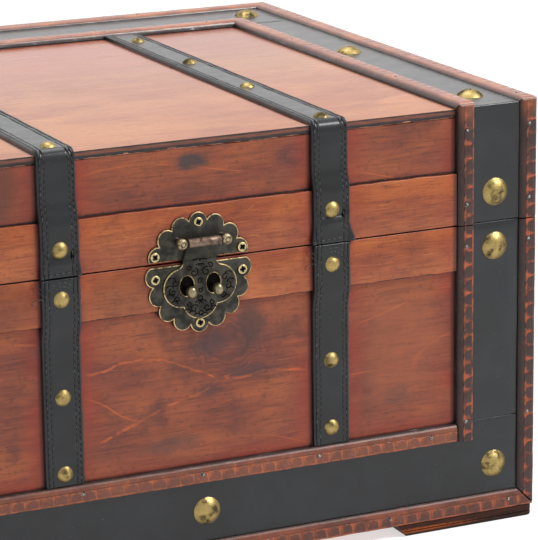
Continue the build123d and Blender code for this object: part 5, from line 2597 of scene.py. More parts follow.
@dataclass
class Straps:
    """The two straps, each in two parts: one up the base's front, one up the lid and over its top."""

    finishes: Finishes
    thick: float = 2.9
    wide: float = 26.4
    slope: float = 10.0
    nails_above_seam: dict[str, float] = field(
        default_factory=lambda: {"lid_left_strap": 17.7, "lid_right_strap": 22.3}
    )
    flares: dict[str, tuple[float, float]] = field(
        default_factory=lambda: {"lid_right_strap": (1.0, 0.5), "lid_left_strap": (0.35, 0.2)}
    )

    def turn(self, x: float) -> Matrix:
        """From the flat route to the strap's place across the trunk."""
        turned_up = Matrix(((0, 0, 1, 0), (1, 0, 0, 0), (0, 1, 0, 0), (0, 0, 0, 1)))
        return Matrix.Translation(X * x * MM) @ turned_up

    def close(
        self, node: str, leather: bpy.types.Object, sewn: list[bpy.types.Object], body: str
    ) -> None:
        """Finish the leather and the stitches of one part.

        Args:
            node: The CAD node it stands for.
            leather: The leather.
            sewn: Its rows of stitches.
            body: The body it rides on.
        """
        settle_normals(leather)
        unevenness(leather, 13, 0.55)
        smooth(leather, 50)
        leather.name = "stitched_" + node
        dress(leather, self.finishes.strap, body)
        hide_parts(node)
        thread = join("thread_" + node, sewn)
        smooth(thread, 60)
        dress(thread, self.finishes.thread, body)

    def base_part(self, node: str, x: float) -> None:
        """Build the part on the base's front.

        Args:
            node: The CAD node it stands for.
            x: The strap's middle.
        """
        face, proud = SIZES.front, SIZES.front - SIZES.batten
        foot = SIZES.base_batten_bottom - self.slope
        corners = [
            (face, SIZES.open_wood - 0.4),
            (face, foot),
            (proud, SIZES.base_batten_bottom),
            (proud, SIZES.base_top),
        ]
        route = rounded(corners, (3.0, 3.0))
        part = StitchedLeather(node, self.wide, self.thick, route, self.turn(x))
        leather, length = part.body(), part.length()
        half = self.wide / 2
        bevel_edges(
            leather,
            lambda a, b: (
                min(a.x, b.x) > length - 0.01
                and min(abs(a.z), abs(b.z)) > half - 0.01
                and a.z * b.z > 0
            ),
            3.5,
            segments=4,
        )
        rows = part.edge_rows(3, length - 11)
        sewn = part.stitches(rows)
        self.lay_arch(part, sewn, length - 13.6)
        part.lay([leather, *sewn])
        left, face = x - self.wide / 2, proud - self.thick
        for z, reach, drop in ((205.0, 6.5, 4.0), (202.0, 8.0, -5.0), (207.5, 4.5, 6.5)):
            points = (
                (left + 3, face - 0.2, z - 3),
                (left - 1, face - 0.8, z),
                (left - reach, face + 0.6, z + drop / 2),
                (left - reach * 0.7, face + 1.2, z + drop),
            )
            sewn.append(self.loose_end(points))
        self.close(node, leather, sewn, "base")

    def lay_arch(self, part: StitchedLeather, sewn: list[bpy.types.Object], nail: float) -> None:
        """Sew an arch over the upper nail, which joins the rows of the two edges.

        Args:
            part: The part of the strap.
            sewn: Where the stitches are added.
            nail: Place of the nail along the part.
        """
        for radius in (part.width / 2 - row for row in part.rows):
            for degrees in range(-75, 80, 22):
                angle = math.radians(degrees)
                spot = (nail + radius * math.cos(angle), part.thick - 0.22, radius * math.sin(angle))
                if spot[0] > part.length() - 1.8:
                    continue
                bpy.ops.object.select_all(action="DESELECT")
                bpy.ops.mesh.primitive_uv_sphere_add(
                    segments=8,
                    ring_count=6,
                    radius=MM,
                    location=Vector(spot) * MM,
                    rotation=(0, math.pi / 2 - angle, 0),
                )
                stitch = bpy.context.object
                stitch.scale = (1.6, 0.5, 0.62)
                bpy.ops.object.transform_apply(location=True, rotation=True, scale=True)
                sewn.append(stitch)

    def lid_part(self, node: str, x: float) -> None:
        """Build the part on the lid: a loose flared end, the front, the bend and the top.

        Args:
            node: The CAD node it stands for.
            x: The strap's middle.
        """
        face, proud = SIZES.front, SIZES.front - SIZES.batten
        rise = SIZES.lid_batten_top + self.slope
        far = SIZES.back - SIZES.back_trim - SIZES.gap
        corners = [
            (proud, SIZES.lid_bottom - 0.2),
            (proud, SIZES.lid_batten_top),
            (face, rise),
            (face, SIZES.top),
            (far, SIZES.top),
        ]
        route = rounded(corners, (3.0, 3.0, 3.0))
        part = StitchedLeather(node, self.wide, self.thick, route, self.turn(x))
        leather, length = part.body(), part.length()
        nail = self.nails_above_seam[node]
        with editing(leather):
            right, left = self.flares[node]
            for reach, spread, lift in ((3.0, 0.9, 0.5), (5.5, 0.8, 0.35), (8.0, 0.7, 0.2), (11.0, 0.5, 0.0)):
                pick_verts(leather, lambda v: v.x < reach and v.z > part.width / 2 - 2)
                bpy.ops.transform.translate(value=(0, lift * MM, spread * right * MM))
                pick_verts(leather, lambda v: v.x < reach and v.z < -part.width / 2 + 2)
                bpy.ops.transform.translate(value=(0, lift * MM, -spread * left * MM))
            for near, far, push in ((7.4, 9.8, -1.0), (9.8, 12.4, 0.7)):
                pick_verts(
                    leather,
                    lambda v: v.y > 1 and v.x < nail - 2 and (near < math.hypot(v.x - nail, v.z) < far),
                )
                bpy.ops.transform.translate(value=(0, push * MM, 0))
        sewn = part.stitches(part.edge_rows(3.5, length - 2))
        for across in range(-7, 8, 4):
            bpy.ops.object.select_all(action="DESELECT")
            spot = Vector((2.6 + across * 0.06, part.thick + 0.05, across)) * MM
            bpy.ops.mesh.primitive_uv_sphere_add(
                segments=8, ring_count=6, radius=MM, location=spot, rotation=(0, math.pi / 2, 0)
            )
            stitch = bpy.context.object
            stitch.scale = (1.5, 0.5, 0.62)
            bpy.ops.object.transform_apply(location=True, rotation=True, scale=True)
            sewn.append(stitch)
        part.lay([leather, *sewn])
        self.close(node, leather, sewn, "lid")

    def loose_end(self, points: Sequence[tuple[float, float, float]]) -> bpy.types.Object:
        """Let a loose end of thread hang from a seam.

        Args:
            points: Its course in millimetres.

        Returns:
            The thread.
        """
        curve = bpy.data.curves.new("loose_thread", "CURVE")
        curve.dimensions = "3D"
        curve.bevel_depth = 0.2 * MM
        curve.bevel_resolution = 1
        curve.use_fill_caps = True
        spline = curve.splines.new("NURBS")
        spline.points.add(len(points) - 1)
        spline.order_u = 3
        spline.use_endpoint_u = True
        spline.resolution_u = 3
        for point, spot in zip(spline.points, points):
            point.co = (*(Vector(spot) * MM), 1)
        thread = bpy.data.objects.new("loose_thread", curve)
        bpy.context.collection.objects.link(thread)
        select_only(thread)
        bpy.ops.object.convert(target="MESH")
        return bpy.context.object

    def build(self) -> None:
        """Build the four parts."""
        for side, x in (("left", -SIZES.strap_x), ("right", SIZES.strap_x)):
            self.base_part(f"base_{side}_strap", x)
            self.lid_part(f"lid_{side}_strap", x)


@dataclass
class Handles:
    """The stitched leather loops on the two ends."""

    finishes: Finishes
    reach: float = 86.0
    foot: float = 34.0
    rise: float = 24.0
    bow: float = 19.0
    wide: float = 24.0
    thick: float = 4.0
    level: float = 129.0

    def build(self) -> None:
        """Build the right handle and mirror it."""
        wall, middle = SIZES.half_width, SIZES.middle
        foot_end = self.reach - self.foot
        grip_end = foot_end - self.rise
        out = wall + self.bow
        corners = [
            (wall, middle + self.reach), (wall, middle + foot_end), (out, middle + grip_end),
            (out, middle - grip_end), (wall, middle - foot_end), (wall, middle - self.reach),
        ]
        route = rounded(corners, (7.0, 11.0, 11.0, 7.0), 8)
        part = StitchedLeather(
            "handle", self.wide, self.thick, route, Matrix.Translation(Z * self.level * MM)
        )
        leather, length = part.body(), part.length()
        half = self.wide / 2
        bevel_edges(leather, lambda a, b: (min(a.x, b.x) > length - 0.01 or max(a.x, b.x) < 0.01)
                    and min(abs(a.z), abs(b.z)) > half - 0.01 and a.z * b.z > 0, 4.0, segments=4)
        sewn = part.stitches(part.edge_rows(4, length - 4))
        part.lay([leather, *sewn])
        settle_normals(leather)
        unevenness(leather, 16, 0.5)
        thread = join("thread_handle", sewn)
        for side in ("right", "left"):
            shown = leather if side == "right" else mirrored(leather, "twin")
            shown_thread = thread if side == "right" else mirrored(thread, "twin")
            smooth(shown, 50)
            smooth(shown_thread, 60)
            shown.name, shown_thread.name = f"stitched_handle_{side}", f"thread_handle_{side}"
            dress(shown, self.finishes.strap, "base")
            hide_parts(f"handle_{side}")
            dress(shown_thread, self.finishes.thread, "base")


# Wood: battens, the top board's layered edge and the feet.


@dataclass
class Battens:
    """Planed strips beside the seam, with slightly uneven edges."""

    finishes: Finishes

    def strip(
        self, low: Sequence[float], high: Sequence[float], ragged: float, rest: float
    ) -> bpy.types.Object:
        """Plane one batten.

        Args:
            low: Lowest corner.
            high: Highest corner.
            ragged: Height of the edge that is uneven.
            rest: Height of the straight edge beside the seam; not used.

        Returns:
            The batten.
        """
        low, high = Vector(low), Vector(high)
        strip = add_box("batten", low, high)
        along = X if high.x - low.x > high.y - low.y else Y
        start, end = low.dot(along), high.dot(along)
        bevel_edges(strip, lambda a, b: abs(a.z - b.z) < 0.01, 0.5, segments=2)
        count = int((end - start) / 7)
        with editing(strip):
            ring_cuts(strip, along, [start + (end - start) * index / count for index in range(1, count)])
            for index in range(count):
                place_along = start + (end - start) * index / count
                pick_verts(
                    strip, lambda v: abs(v.dot(along) - place_along) < 0.5 and abs(v.z - ragged) < 1.2
                )
                bpy.ops.transform.translate(value=(0, 0, random.uniform(-0.3, 0.3) * MM))
        return strip

    def close(
        self, node: str, strips: list[bpy.types.Object], body: str, finish: bpy.types.Material
    ) -> None:
        """Join the battens of a node and put them in its place.

        Args:
            node: The CAD node they stand for.
            strips: The battens.
            body: The body they ride on.
            finish: Their material.
        """
        piece = join("planed_" + node, strips)
        settle_normals(piece)
        smooth(piece, 40)
        dress(piece, finish, body)
        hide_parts(node)

    def build(self) -> None:
        """Build all battens."""
        heights = {
            "base": (SIZES.base_batten_bottom, SIZES.base_top, SIZES.base_batten_bottom, SIZES.base_top),
            "lid": (SIZES.lid_bottom, SIZES.lid_batten_top, SIZES.lid_batten_top, SIZES.lid_bottom),
        }
        inner = SIZES.half_width - SIZES.side_trim - SIZES.gap
        wide = SIZES.edge_x - SIZES.moulding_leg - SIZES.gap
        near, far = SIZES.front + SIZES.side_trim + SIZES.gap, SIZES.back - SIZES.side_trim - SIZES.gap
        proud, side = SIZES.batten, SIZES.half_width
        for body, (low, high, ragged, rest) in heights.items():
            front = self.strip(
                (-inner, SIZES.front - proud, low), (inner, SIZES.front, high), ragged, rest
            )
            self.close(f"{body}_front_batten", [front], body, self.finishes.batten)
            back = self.strip((-wide, SIZES.back, low), (wide, SIZES.back + proud, high), ragged, rest)
            self.close(f"{body}_back_batten", [back], body, self.finishes.back_batten)
            end = self.strip((side, near, low), (side + proud, far, high), ragged, rest)
            self.close(
                f"{body}_end_battens", [end, mirrored(end, "twin")], body, self.finishes.end_batten
            )


@dataclass
class TopBoard:
    """The lid's top board, whose front edge shows its plies between two uneven dark lines."""

    finishes: Finishes

    def build(self) -> None:
        """Build the board with its edge."""
        low = SIZES.top - SIZES.top_board
        board = add_box(
            "layered_lid_top_board",
            (-SIZES.half_width, SIZES.front, low),
            (SIZES.half_width, SIZES.back, SIZES.top),
        )

        def front(vert: Vector) -> bool:
            """Whether a vertex lies on the front edge."""
            return vert.y < SIZES.front + 0.6

        bevel_edges(
            board,
            lambda a, b: front(a) and front(b) and (min(a.z, b.z) > SIZES.top - 0.01),
            0.4,
            segments=2,
        )
        with editing(board):
            ring_cuts(board, Z, (low + 0.7, low + 1.5, SIZES.top - 2.2, SIZES.top - 1.6, SIZES.top - 0.9))
            stations = [position * 3.0 for position in range(-80, 81)]
            ring_cuts(board, X, stations)
            for position in stations:
                for height, press in ((low + 0.7, 0.8), (low, 0.8), (low + 1.5, 0.35), (SIZES.top - 1.6, 0.25)):
                    wander = random.uniform(-0.25, 0.25)
                    depth = press * random.uniform(0.6, 1.2)
                    pick_verts(
                        board,
                        lambda v: front(v) and abs(v.x - position) < 0.5 and (abs(v.z - height) < 0.05),
                    )
                    bpy.ops.transform.translate(value=(0, depth * MM, wander * MM))
        settle_normals(board)
        smooth(board, 40)
        board.data.materials.append(self.finishes.top)
        board.data.materials.append(self.finishes.plies)
        for face in board.data.polygons:
            middle = face.center / MM
            face.material_index = int(
                front(middle) and middle.z < SIZES.top - 0.2 and (abs(face.normal.z) < 0.8)
            )
        dress(board, self.finishes.top, "lid")
        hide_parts("lid_top_board")


@dataclass
class Feet:
    """Low wooden feet with a bevelled inner end, a rounded outer corner and a groove along them."""

    finishes: Finishes
    length: float = 106.0
    depth: float = 46.0
    inset: float = 0.6

    def foot(self, name: str, front: bool) -> bpy.types.Object:
        """Shape a foot under the right end.

        Args:
            name: The foot's name.
            front: Whether it is the front one.

        Returns:
            The foot.
        """
        outer_x = SIZES.edge_x - self.inset
        outer_y = SIZES.edge_front + self.inset if front else SIZES.edge_back - self.inset
        inner_y = outer_y + self.depth if front else outer_y - self.depth
        low = (outer_x - self.length, min(outer_y, inner_y), 0)
        foot = add_box(name, low, (outer_x, max(outer_y, inner_y), SIZES.foot))
        bevel_edges(
            foot,
            lambda a, b: (
                abs(a.z - b.z) > 1
                and min(a.x, b.x) > outer_x - 0.01
                and abs(a.y - outer_y) < 0.01
            ),
            5.0,
            segments=6,
        )
        with editing(foot):
            pick_verts(foot, lambda v: v.x < low[0] + 0.01 and v.z < 0.01)
            bpy.ops.transform.translate(value=(7 * MM, 0, 0))
        bevel_edges(foot, lambda a, b: max(a.z, b.z) < 0.01, 0.9, segments=2)
        with editing(foot):
            ring_cuts(foot, Z, (2.6, 3.2, 3.8))
            pick_verts(foot, lambda v: abs(v.z - 3.2) < 0.1)
            middle = Vector((outer_x - self.length / 2, (outer_y + inner_y) / 2, 3.2)) * MM
            bpy.ops.transform.resize(value=(0.986, 0.97, 1), center_override=middle)
        return foot

    def build(self) -> None:
        """Build the four feet."""
        for end in ("front", "back"):
            right = self.foot(f"grooved_foot_{end}_right", end == "front")
            left = mirrored(right, f"grooved_foot_{end}_left")
            for side, foot in (("right", right), ("left", left)):
                settle_normals(foot)
                smooth(foot, 35)
                dress(foot, self.finishes.foot, "base")
                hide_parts(f"foot_{end}_{side}")


# The clasp.


def outline(
    name: str, points: Sequence[tuple[float, float]], back: float, front: float
) -> bpy.types.Object:
    """Cut a plate with an outline drawn point by point.

    Args:
        name: The plate's name.
        points: The outline in X and Z, in millimetres.
        back: Where its back lies.
        front: Where its front lies.

    Returns:
        The plate.
    """
    bpy.ops.object.select_all(action="DESELECT")
    bpy.ops.mesh.primitive_circle_add(vertices=len(points), radius=MM, fill_type="NGON")
    plate = bpy.context.object
    plate.name = name
    for vert, (x, z) in zip(plate.data.vertices, points):
        vert.co = Vector((x, back, z)) * MM
    with editing(plate):
        bpy.ops.mesh.select_all(action="SELECT")
        bpy.ops.mesh.extrude_region_move(TRANSFORM_OT_translate={"value": (0, (front - back) * MM, 0)})
    settle_normals(plate)
    return plate


def arc(
    centre: tuple[float, float], radius: float, start: float, end: float, steps: int
) -> list[tuple[float, float]]:
    """Points of an arc, from one angle to another in degrees."""
    angles = [math.radians(start + (end - start) * index / steps) for index in range(steps + 1)]
    return [
        (centre[0] + radius * math.cos(angle), centre[1] + radius * math.sin(angle))
        for angle in angles
    ]


def turned(
    name: str, profile: Sequence[tuple[float, float]], matrix: Matrix, sides: int = 28
) -> bpy.types.Object:
    """Turn a round piece from a disc, by extruding and scaling it.

    Args:
        name: The piece's name.
        profile: Radius and height of each step, from the foot to the tip.
        matrix: Where it goes: its height runs along Z.
        sides: Sides of the round.

    Returns:
        The piece.
    """
    bpy.ops.object.select_all(action="DESELECT")
    radius, height = profile[0]
    bpy.ops.mesh.primitive_circle_add(
        vertices=sides, radius=radius * MM, fill_type="NGON", location=(0, 0, height * MM)
    )
    piece = bpy.context.object
    piece.name = name
    bpy.ops.object.transform_apply(location=True, rotation=True, scale=True)
    with editing(piece):
        bpy.ops.mesh.select_all(action="SELECT")
        for next_radius, next_height in profile[1:]:
            rise = {"value": (0, 0, (next_height - height) * MM)}
            bpy.ops.mesh.extrude_region_move(TRANSFORM_OT_translate=rise)
            factor = next_radius / radius
            bpy.ops.transform.resize(value=(factor, factor, 1), center_override=(0, 0, next_height * MM))
            radius, height = next_radius, next_height
    settle_normals(piece)
    place(piece, matrix)
    return piece


def cut_out(piece: bpy.types.Object, tool: bpy.types.Object, operation: str = "DIFFERENCE") -> None:
    """Join or cut a piece with another, which is used up.

    Args:
        piece: The piece that stays.
        tool: The other piece.
        operation: The boolean operation.
    """
    apply_modifier(piece, "BOOLEAN", object=tool, operation=operation, solver="EXACT")
    bpy.data.objects.remove(tool, do_unlink=True)


def towards_front(x: float, y: float, z: float, spin: float = 0.0) -> Matrix:
    """A place whose height runs out of the front.

    Args:
        x: Place in millimetres.
        y: Place in millimetres.
        z: Place in millimetres.
        spin: Turn about the height, in radians.

    Returns:
        The matrix in metres.
    """
    return (
        Matrix.Translation(Vector((x, y, z)) * MM) @ Matrix.Rotation(math.pi / 2, 4, "X")
        @ Matrix.Rotation(spin, 4, "Z")
    )


@dataclass
class Clasp:
    """A round scalloped plate in two halves, with a hasp on a pin, two posts and two studs."""

    finishes: Finishes
    centre_z: float = 205.0
    petals: int = 16
    petal_circle: float = 31.4
    petal_radius: float = 6.8
    narrow: float = 0.975
    tall: float = 1.045
    back: float = -215.009
    front: float = -216.509
    split: float = 1.7
    rim_rise: float = 0.35
    pin_y: float = -226.109
    pin_z: float = 227.4
    post_x: float = 15.5
    stud_x: float = 9.3
    stud_z: float = 195.0
    slot_z: float = 197.4
    screws_up: tuple[tuple[float, float], ...] = ((0.0, 238.4), (30.5, 218.4), (-30.5, 218.4))
    screws_low: tuple[tuple[float, float], ...] = ((0.0, 171.6), (30.5, 203.5), (-30.5, 203.5))

    def rosette(self) -> list[tuple[float, float]]:
        """Draw the scalloped outline, one arc for each petal.

        Returns:
            Its points in X and Z.
        """
        points = []
        steps = 12
        for index in range(self.petals * steps):
            turn = 2 * math.pi * index / (self.petals * steps)
            pitch = 2 * math.pi / self.petals
            within = (turn + pitch / 2) % pitch - pitch / 2
            reach = self.petal_circle * math.cos(within)
            reach += math.sqrt(self.petal_radius**2 - (self.petal_circle * math.sin(within)) ** 2)
            points.append(
                (self.narrow * reach * math.sin(turn), self.centre_z + self.tall * reach * math.cos(turn))
            )
        return points

    def metal(self, piece: bpy.types.Object, width: float = 0.6) -> None:
        """Give bronze its finishes and slope its front rim, which is rubbed bright.

        Args:
            piece: The plate, whose rim rises by rim_rise.
            width: Width of the rubbed rim.
        """
        piece.data.materials.clear()
        for material in (self.finishes.bronze, self.finishes.rubbed, self.finishes.engraving):
            piece.data.materials.append(material)
        low = min(vert.co.y for vert in piece.data.vertices) / MM
        with editing(piece):
            pick_faces(piece, lambda middle, normal: normal.y < -0.9 and middle.y < low + 0.02)
            bpy.ops.mesh.inset(thickness=width * MM, depth=self.rim_rise * MM)
        for face in piece.data.polygons:
            middle = face.center.y / MM
            face.material_index = int(not face.select and low - self.rim_rise < middle < low - 0.05)

    def plate(self, name: str, keep: Vector) -> bpy.types.Object:
        """Cut one half of the rosette and round the ends of its cut.

        Args:
            name: The plate's name.
            keep: Up or down.

        Returns:
            The plate.
        """
        plate = outline(name, self.rosette(), self.back, self.front + self.rim_rise)
        level = SIZES.seam + keep.z * self.split
        cut_away(plate, (0, 0, level), keep)

        def at_corner(a: Vector, b: Vector) -> bool:
            """Whether an edge is a corner where the plate is cut across."""
            same = abs(a.x - b.x) < 0.01 and abs(a.z - b.z) < 0.01
            return same and abs(a.z - level) < 0.01

        bevel_edges(plate, at_corner, 3.0, segments=5)
        with editing(plate):
            bpy.ops.mesh.select_all(action="SELECT")
            bpy.ops.mesh.dissolve_limited(angle_limit=math.radians(1))
        self.metal(plate)
        return plate

    def post(self, x: float) -> bpy.types.Object:
        """Turn one of the posts that carry the pin, with a ringed tip.

        Args:
            x: Its place.

        Returns:
            The post.
        """
        reach = self.front - self.pin_y
        profile = (
            (3.0, -0.4),
            (2.6, 0.5),
            (2.0, 1.0),
            (2.0, reach - 3.4),
            (2.8, reach - 2.9),
            (3.6, reach - 1.9),
            (3.8, reach - 0.4),
            (3.7, reach + 0.8),
            (3.2, reach + 1.8),
            (2.6, reach + 2.3),
            (2.0, reach + 2.2),
            (1.7, reach + 1.7),
            (1.4, reach + 1.7),
            (1.1, reach + 2.3),
            (0.4, reach + 2.4),
        )
        post = turned("post", profile, towards_front(x, self.front, self.pin_z))
        for material in (self.finishes.bronze, self.finishes.tip):
            post.data.materials.append(material)
        for face in post.data.polygons:
            face.material_index = int(face.center.y / MM < self.pin_y + 3.0)
        return post

    def upper(self) -> None:
        """Build the upper plate with its posts."""
        plate = self.plate("bronze_clasp_upper_plate", Z)
        posts = [self.post(side * self.post_x) for side in (-1, 1)]
        piece = join("bronze_clasp_upper_plate", [plate, *posts])
        smooth(piece, 40)
        dress(piece, self.finishes.bronze, "lid")
        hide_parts("clasp_upper_plate")

    def lower(self) -> None:
        """Build the lower plate."""
        plate = self.plate("bronze_clasp_lower_plate", -Z)
        # Thin black ovals behind the hasp's slots: painted shade inside the slots.
        slot_shades = [self.painted_slot_shade(side * self.stud_x) for side in (-1, 1)]
        plate = join("bronze_clasp_lower_plate", [plate, *slot_shades])
        smooth(plate, 40)
        dress(plate, self.finishes.bronze, "base")
        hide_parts("clasp_lower_plate")

    def studs(self) -> None:
        """Turn the two studs with round tips."""
        studs = []
        for side in (-1, 1):
            profile = (
                (3.0, -0.3),
                (2.5, 0.6),
                (2.1, 1.2),
                (2.1, 6.2),
                (2.9, 6.8),
                (3.35, 8.0),
                (3.45, 9.3),
                (3.1, 10.8),
                (2.3, 11.8),
                (1.2, 12.4),
                (0.3, 12.5),
            )
            place_stud = (
                towards_front(side * self.stud_x, self.front, self.stud_z)
                @ Matrix.Diagonal((1, 1.16, 1, 1))
            )
            stud = turned("stud", profile, place_stud)
            for material in (self.finishes.stud, self.finishes.engraving):
                stud.data.materials.append(material)
            # The shaft, which stands in the hasp's slot, is painted black as shade; the round tip keeps the
            # stud's finish.
            for face in stud.data.polygons:
                face.material_index = int(face.center.y / MM > self.front - 6.5)
            studs.append(stud)
        piece = join("turned_clasp_studs", studs)
        smooth(piece, 50)
        dress(piece, self.finishes.stud, "base")
        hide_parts("clasp_studs")

    def screw(self, x: float, z: float) -> bpy.types.Object:
        """Turn a screw's head and cut its cross.

        Args:
            x: Its place.
            z: Its place.

        Returns:
            The screw.
        """
        head = turned(
            "screw",
            ((3.25, -0.2), (3.25, 0.4), (3.05, 0.85), (2.6, 1.1), (2.2, 0.95), (1.6, 0.9)),
            Matrix.Identity(4),
            24,
        )
        cutter = add_box("cross", (-2.1, -0.6, 0.3), (2.1, 0.6, 2))
        cut_out(cutter, add_box("cross", (-0.6, -2.1, 0.3), (0.6, 2.1, 2)), "UNION")
        cut_out(cutter, add_box("cross", (-1.15, -1.15, 0.3), (1.15, 1.15, 2)), "UNION")
        cut_out(head, cutter)
        head.data.materials.clear()
        head.data.materials.append(self.finishes.screw)
        head.data.materials.append(self.finishes.engraving)
        head.data.materials.append(self.finishes.tip)
        # The bottom of the cross is painted black; the middle of the head above it gets the tip's finish.
        for face in head.data.polygons:
            middle = face.center / MM
            if middle.xy.length < 2.15:
                face.material_index = 1 if middle.z < 0.86 else 2
        smooth(head, 35)
        place(head, towards_front(x, self.front, z, random.uniform(0, 1.5)))
        return head

    def screws(self) -> None:
        """Build the six screws."""
        for node, body, spots in (
            ("clasp_upper_screws", "lid", self.screws_up),
            ("clasp_lower_screws", "base", self.screws_low),
        ):
            piece = join("crossed_" + node, [self.screw(x, z) for x, z in spots])
            dress(piece, self.finishes.screw, body)
            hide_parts(node)

    def hasp(self) -> None:
        """Build the hasp: barrel, sloping neck, three lobes, two slots and its engraving."""
        back, front = self.front - 0.5, self.front - 2.0
        flap = outline("flap", self.flap(), back, front + self.rim_rise)
        for side in (-1, 1):
            cut_out(flap, self.slot(side * self.stud_x))
        self.metal(flap)
        for face in flap.data.polygons:
            if face.center.z / MM > self.pin_z - 14.9:
                face.material_index = 0
        with editing(flap):
            pick_faces(flap, lambda middle, normal: normal.z > 0.9 and middle.z > self.pin_z - 14.5)
            rise = Vector((0, self.pin_y - 0.2 - (front + back) / 2, 13.2)) * MM
            bpy.ops.mesh.extrude_region_move(TRANSFORM_OT_translate={"value": rise})
        for face in flap.data.polygons:
            if face.center.z / MM > self.pin_z - 13.0:
                face.material_index = 0
        barrel = turned(
            "barrel",
            ((2.1, -11.4), (2.75, -11.2), (3.0, -10.6), (3.0, 10.6), (2.75, 11.2), (2.1, 11.4)),
            (
                Matrix.Translation(Vector((0, self.pin_y, self.pin_z)) * MM)
                @ Matrix.Rotation(math.pi / 2, 4, "Y")
            ),
        )
        barrel.data.materials.append(self.finishes.rolled)
        engraving = self.engraving(front)
        piece = join("bronze_hasp", [flap, barrel, engraving])
        smooth(piece, 40)
        dress(piece, self.finishes.bronze, "hasp")
        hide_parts("hasp")

    def flap(self) -> list[tuple[float, float]]:
        """Draw the flap: a neck that flares into two round lobes, with a third lobe below.

        Returns:
            Its outline.
        """
        lobe_x, lobe_z, lobe = 12.7, self.pin_z - 31.0, 13.0
        half, flare, tail_z, tail = 11.6, 5.0, self.pin_z - 40.2, 12.5
        flare_x = half + flare
        flare_z = lobe_z + math.sqrt((lobe + flare) ** 2 - (flare_x - lobe_x) ** 2)
        meet = math.degrees(math.atan2(flare_z - lobe_z, flare_x - lobe_x))
        right = arc((flare_x, flare_z), flare, 180.0, 180.0 + meet, 8)
        right += arc((lobe_x, lobe_z), lobe, meet, -93.4, 30)
        right += arc((0.0, tail_z), tail, -17.6, -88.0, 14)
        left = [(-x, z) for x, z in reversed(right)]
        return [*right, *left]

    def slot(self, x: float) -> bpy.types.Object:
        """Make the cutter of one oval slot.

        Args:
            x: The slot's middle.

        Returns:
            The cutter.
        """
        steps = 40
        turns = [2 * math.pi * index / steps for index in range(steps)]
        points = [(x + 4.9 * math.sin(turn), self.slot_z + 6.6 * math.cos(turn)) for turn in turns]
        return outline("slot", points, self.front + 1, self.front - 4)

    def engraving(self, front: float) -> bpy.types.Object:
        """Draw plain scrolls and leaves on the flap.

        Args:
            front: Where the flap's face lies.

        Returns:
            The engraved lines.
        """
        curve = bpy.data.curves.new("scrolls", "CURVE")
        curve.dimensions = "3D"
        curve.bevel_depth = 0.42 * MM
        curve.bevel_resolution = 1
        for x, z, size, turns, start in (*self.scrolls(), *self.leaves()):
            spline = curve.splines.new("POLY")
            count = max(5, int(14 * abs(turns)))
            spline.points.add(count)
            for index, point in enumerate(spline.points):
                share = index / count
                angle = start + 2 * math.pi * turns * share
                reach = size * (1 - 0.75 * share)
                spot = Vector((x + reach * math.cos(angle), front + 0.12, z + reach * math.sin(angle)))
                point.co = (*(spot * MM), 1)
        drawing = bpy.data.objects.new("scrolls", curve)
        bpy.context.collection.objects.link(drawing)
        select_only(drawing)
        bpy.ops.object.convert(target="MESH")
        lines = bpy.context.object
        lines.data.materials.clear()
        lines.data.materials.append(self.finishes.engraving)
        return lines

    def painted_slot_shade(self, x: float) -> bpy.types.Object:
        """Add a thin black oval to the lower plate behind a slot of the hasp, as painted shade inside the slot.

        Args:
            x: The slot's middle.

        Returns:
            The oval.
        """
        steps = 40
        turns = [2 * math.pi * index / steps for index in range(steps)]
        points = [
            (x - 0.6 + 5.6 * math.sin(turn), self.slot_z + 0.6 + 7.4 * math.cos(turn))
            for turn in turns
        ]
        oval = outline("painted_slot_shade", points, self.front + 0.2, self.front - 0.08)
        bevel_edges(oval, lambda a, b: max(a.y, b.y) < self.front - 0.06, 0.06, segments=1)
        oval.data.materials.append(self.finishes.engraving)
        return oval

    def leaves(self) -> list[tuple[float, float, float, float, float]]:
        """List the leaf strokes, as scrolls that make less than half a turn.

        Returns:
            For each its middle, its size, how many turns it makes and where it starts.
        """
        drawn = []
        z = self.pin_z
        for side in (-1, 1):
            bend = 0.32 * side
            start = 0.4 if side > 0 else math.pi - 0.4
            for x, down, size in (
                (2.0, 8.0, 4.6), (4.0, 10.0, 5.0), (5.6, 12.6, 4.6), (3.0, 13.6, 4.4), (1.5, 17.0, 3.6),
                (20.5, 24.5, 4.4), (22.0, 29.5, 4.4), (21.6, 35.0, 4.2), (19.0, 40.0, 4.0),
                (2.2, 41.6, 4.4), (6.6, 48.0, 4.2), (3.4, 50.0, 3.8), (9.8, 46.0, 3.4),
            ):
                drawn.append((side * (x - size * 0.5), z - down - size * 0.4, size, bend, start))
        return drawn

    def scrolls(self) -> list[tuple[float, float, float, float, float]]:
        """List the scrolls.

        Returns:
            For each its middle, its size, how many turns it makes and where it starts.
        """
        drawn = []
        z = self.pin_z
        for side in (-1, 1):
            bend = 1.1 if side > 0 else -1.1
            drawn += [
                (side * 17.6, z - 27.0, 2.6, bend, 0.5), (side * 19.4, z - 33.0, 2.8, -bend, 2.0),
                (side * 16.2, z - 38.2, 2.2, bend, 3.6), (side * 4.3, z - 21.6, 3.2, bend, 1.2),
                (side * 7.4, z - 18.0, 2.0, -bend, 2.6), (side * 4.6, z - 45.6, 3.0, -bend, 0.4),
                (side * 8.4, z - 42.6, 2.0, bend, 1.7),
            ]
        drawn += [
            (0.0, z - 27.6, 2.2, 1.3, 0.2),
            (0.0, z - 33.4, 1.8, -1.2, 1.0),
            (0.0, z - 38.6, 2.4, 1.2, 2.2),
            (0.0, z - 49.2, 2.0, 1.0, 0.0),
        ]
        return drawn

    def build(self) -> None:
        """Build the clasp."""
        self.upper()
        self.lower()
        self.studs()
        self.screws()
        self.hasp()


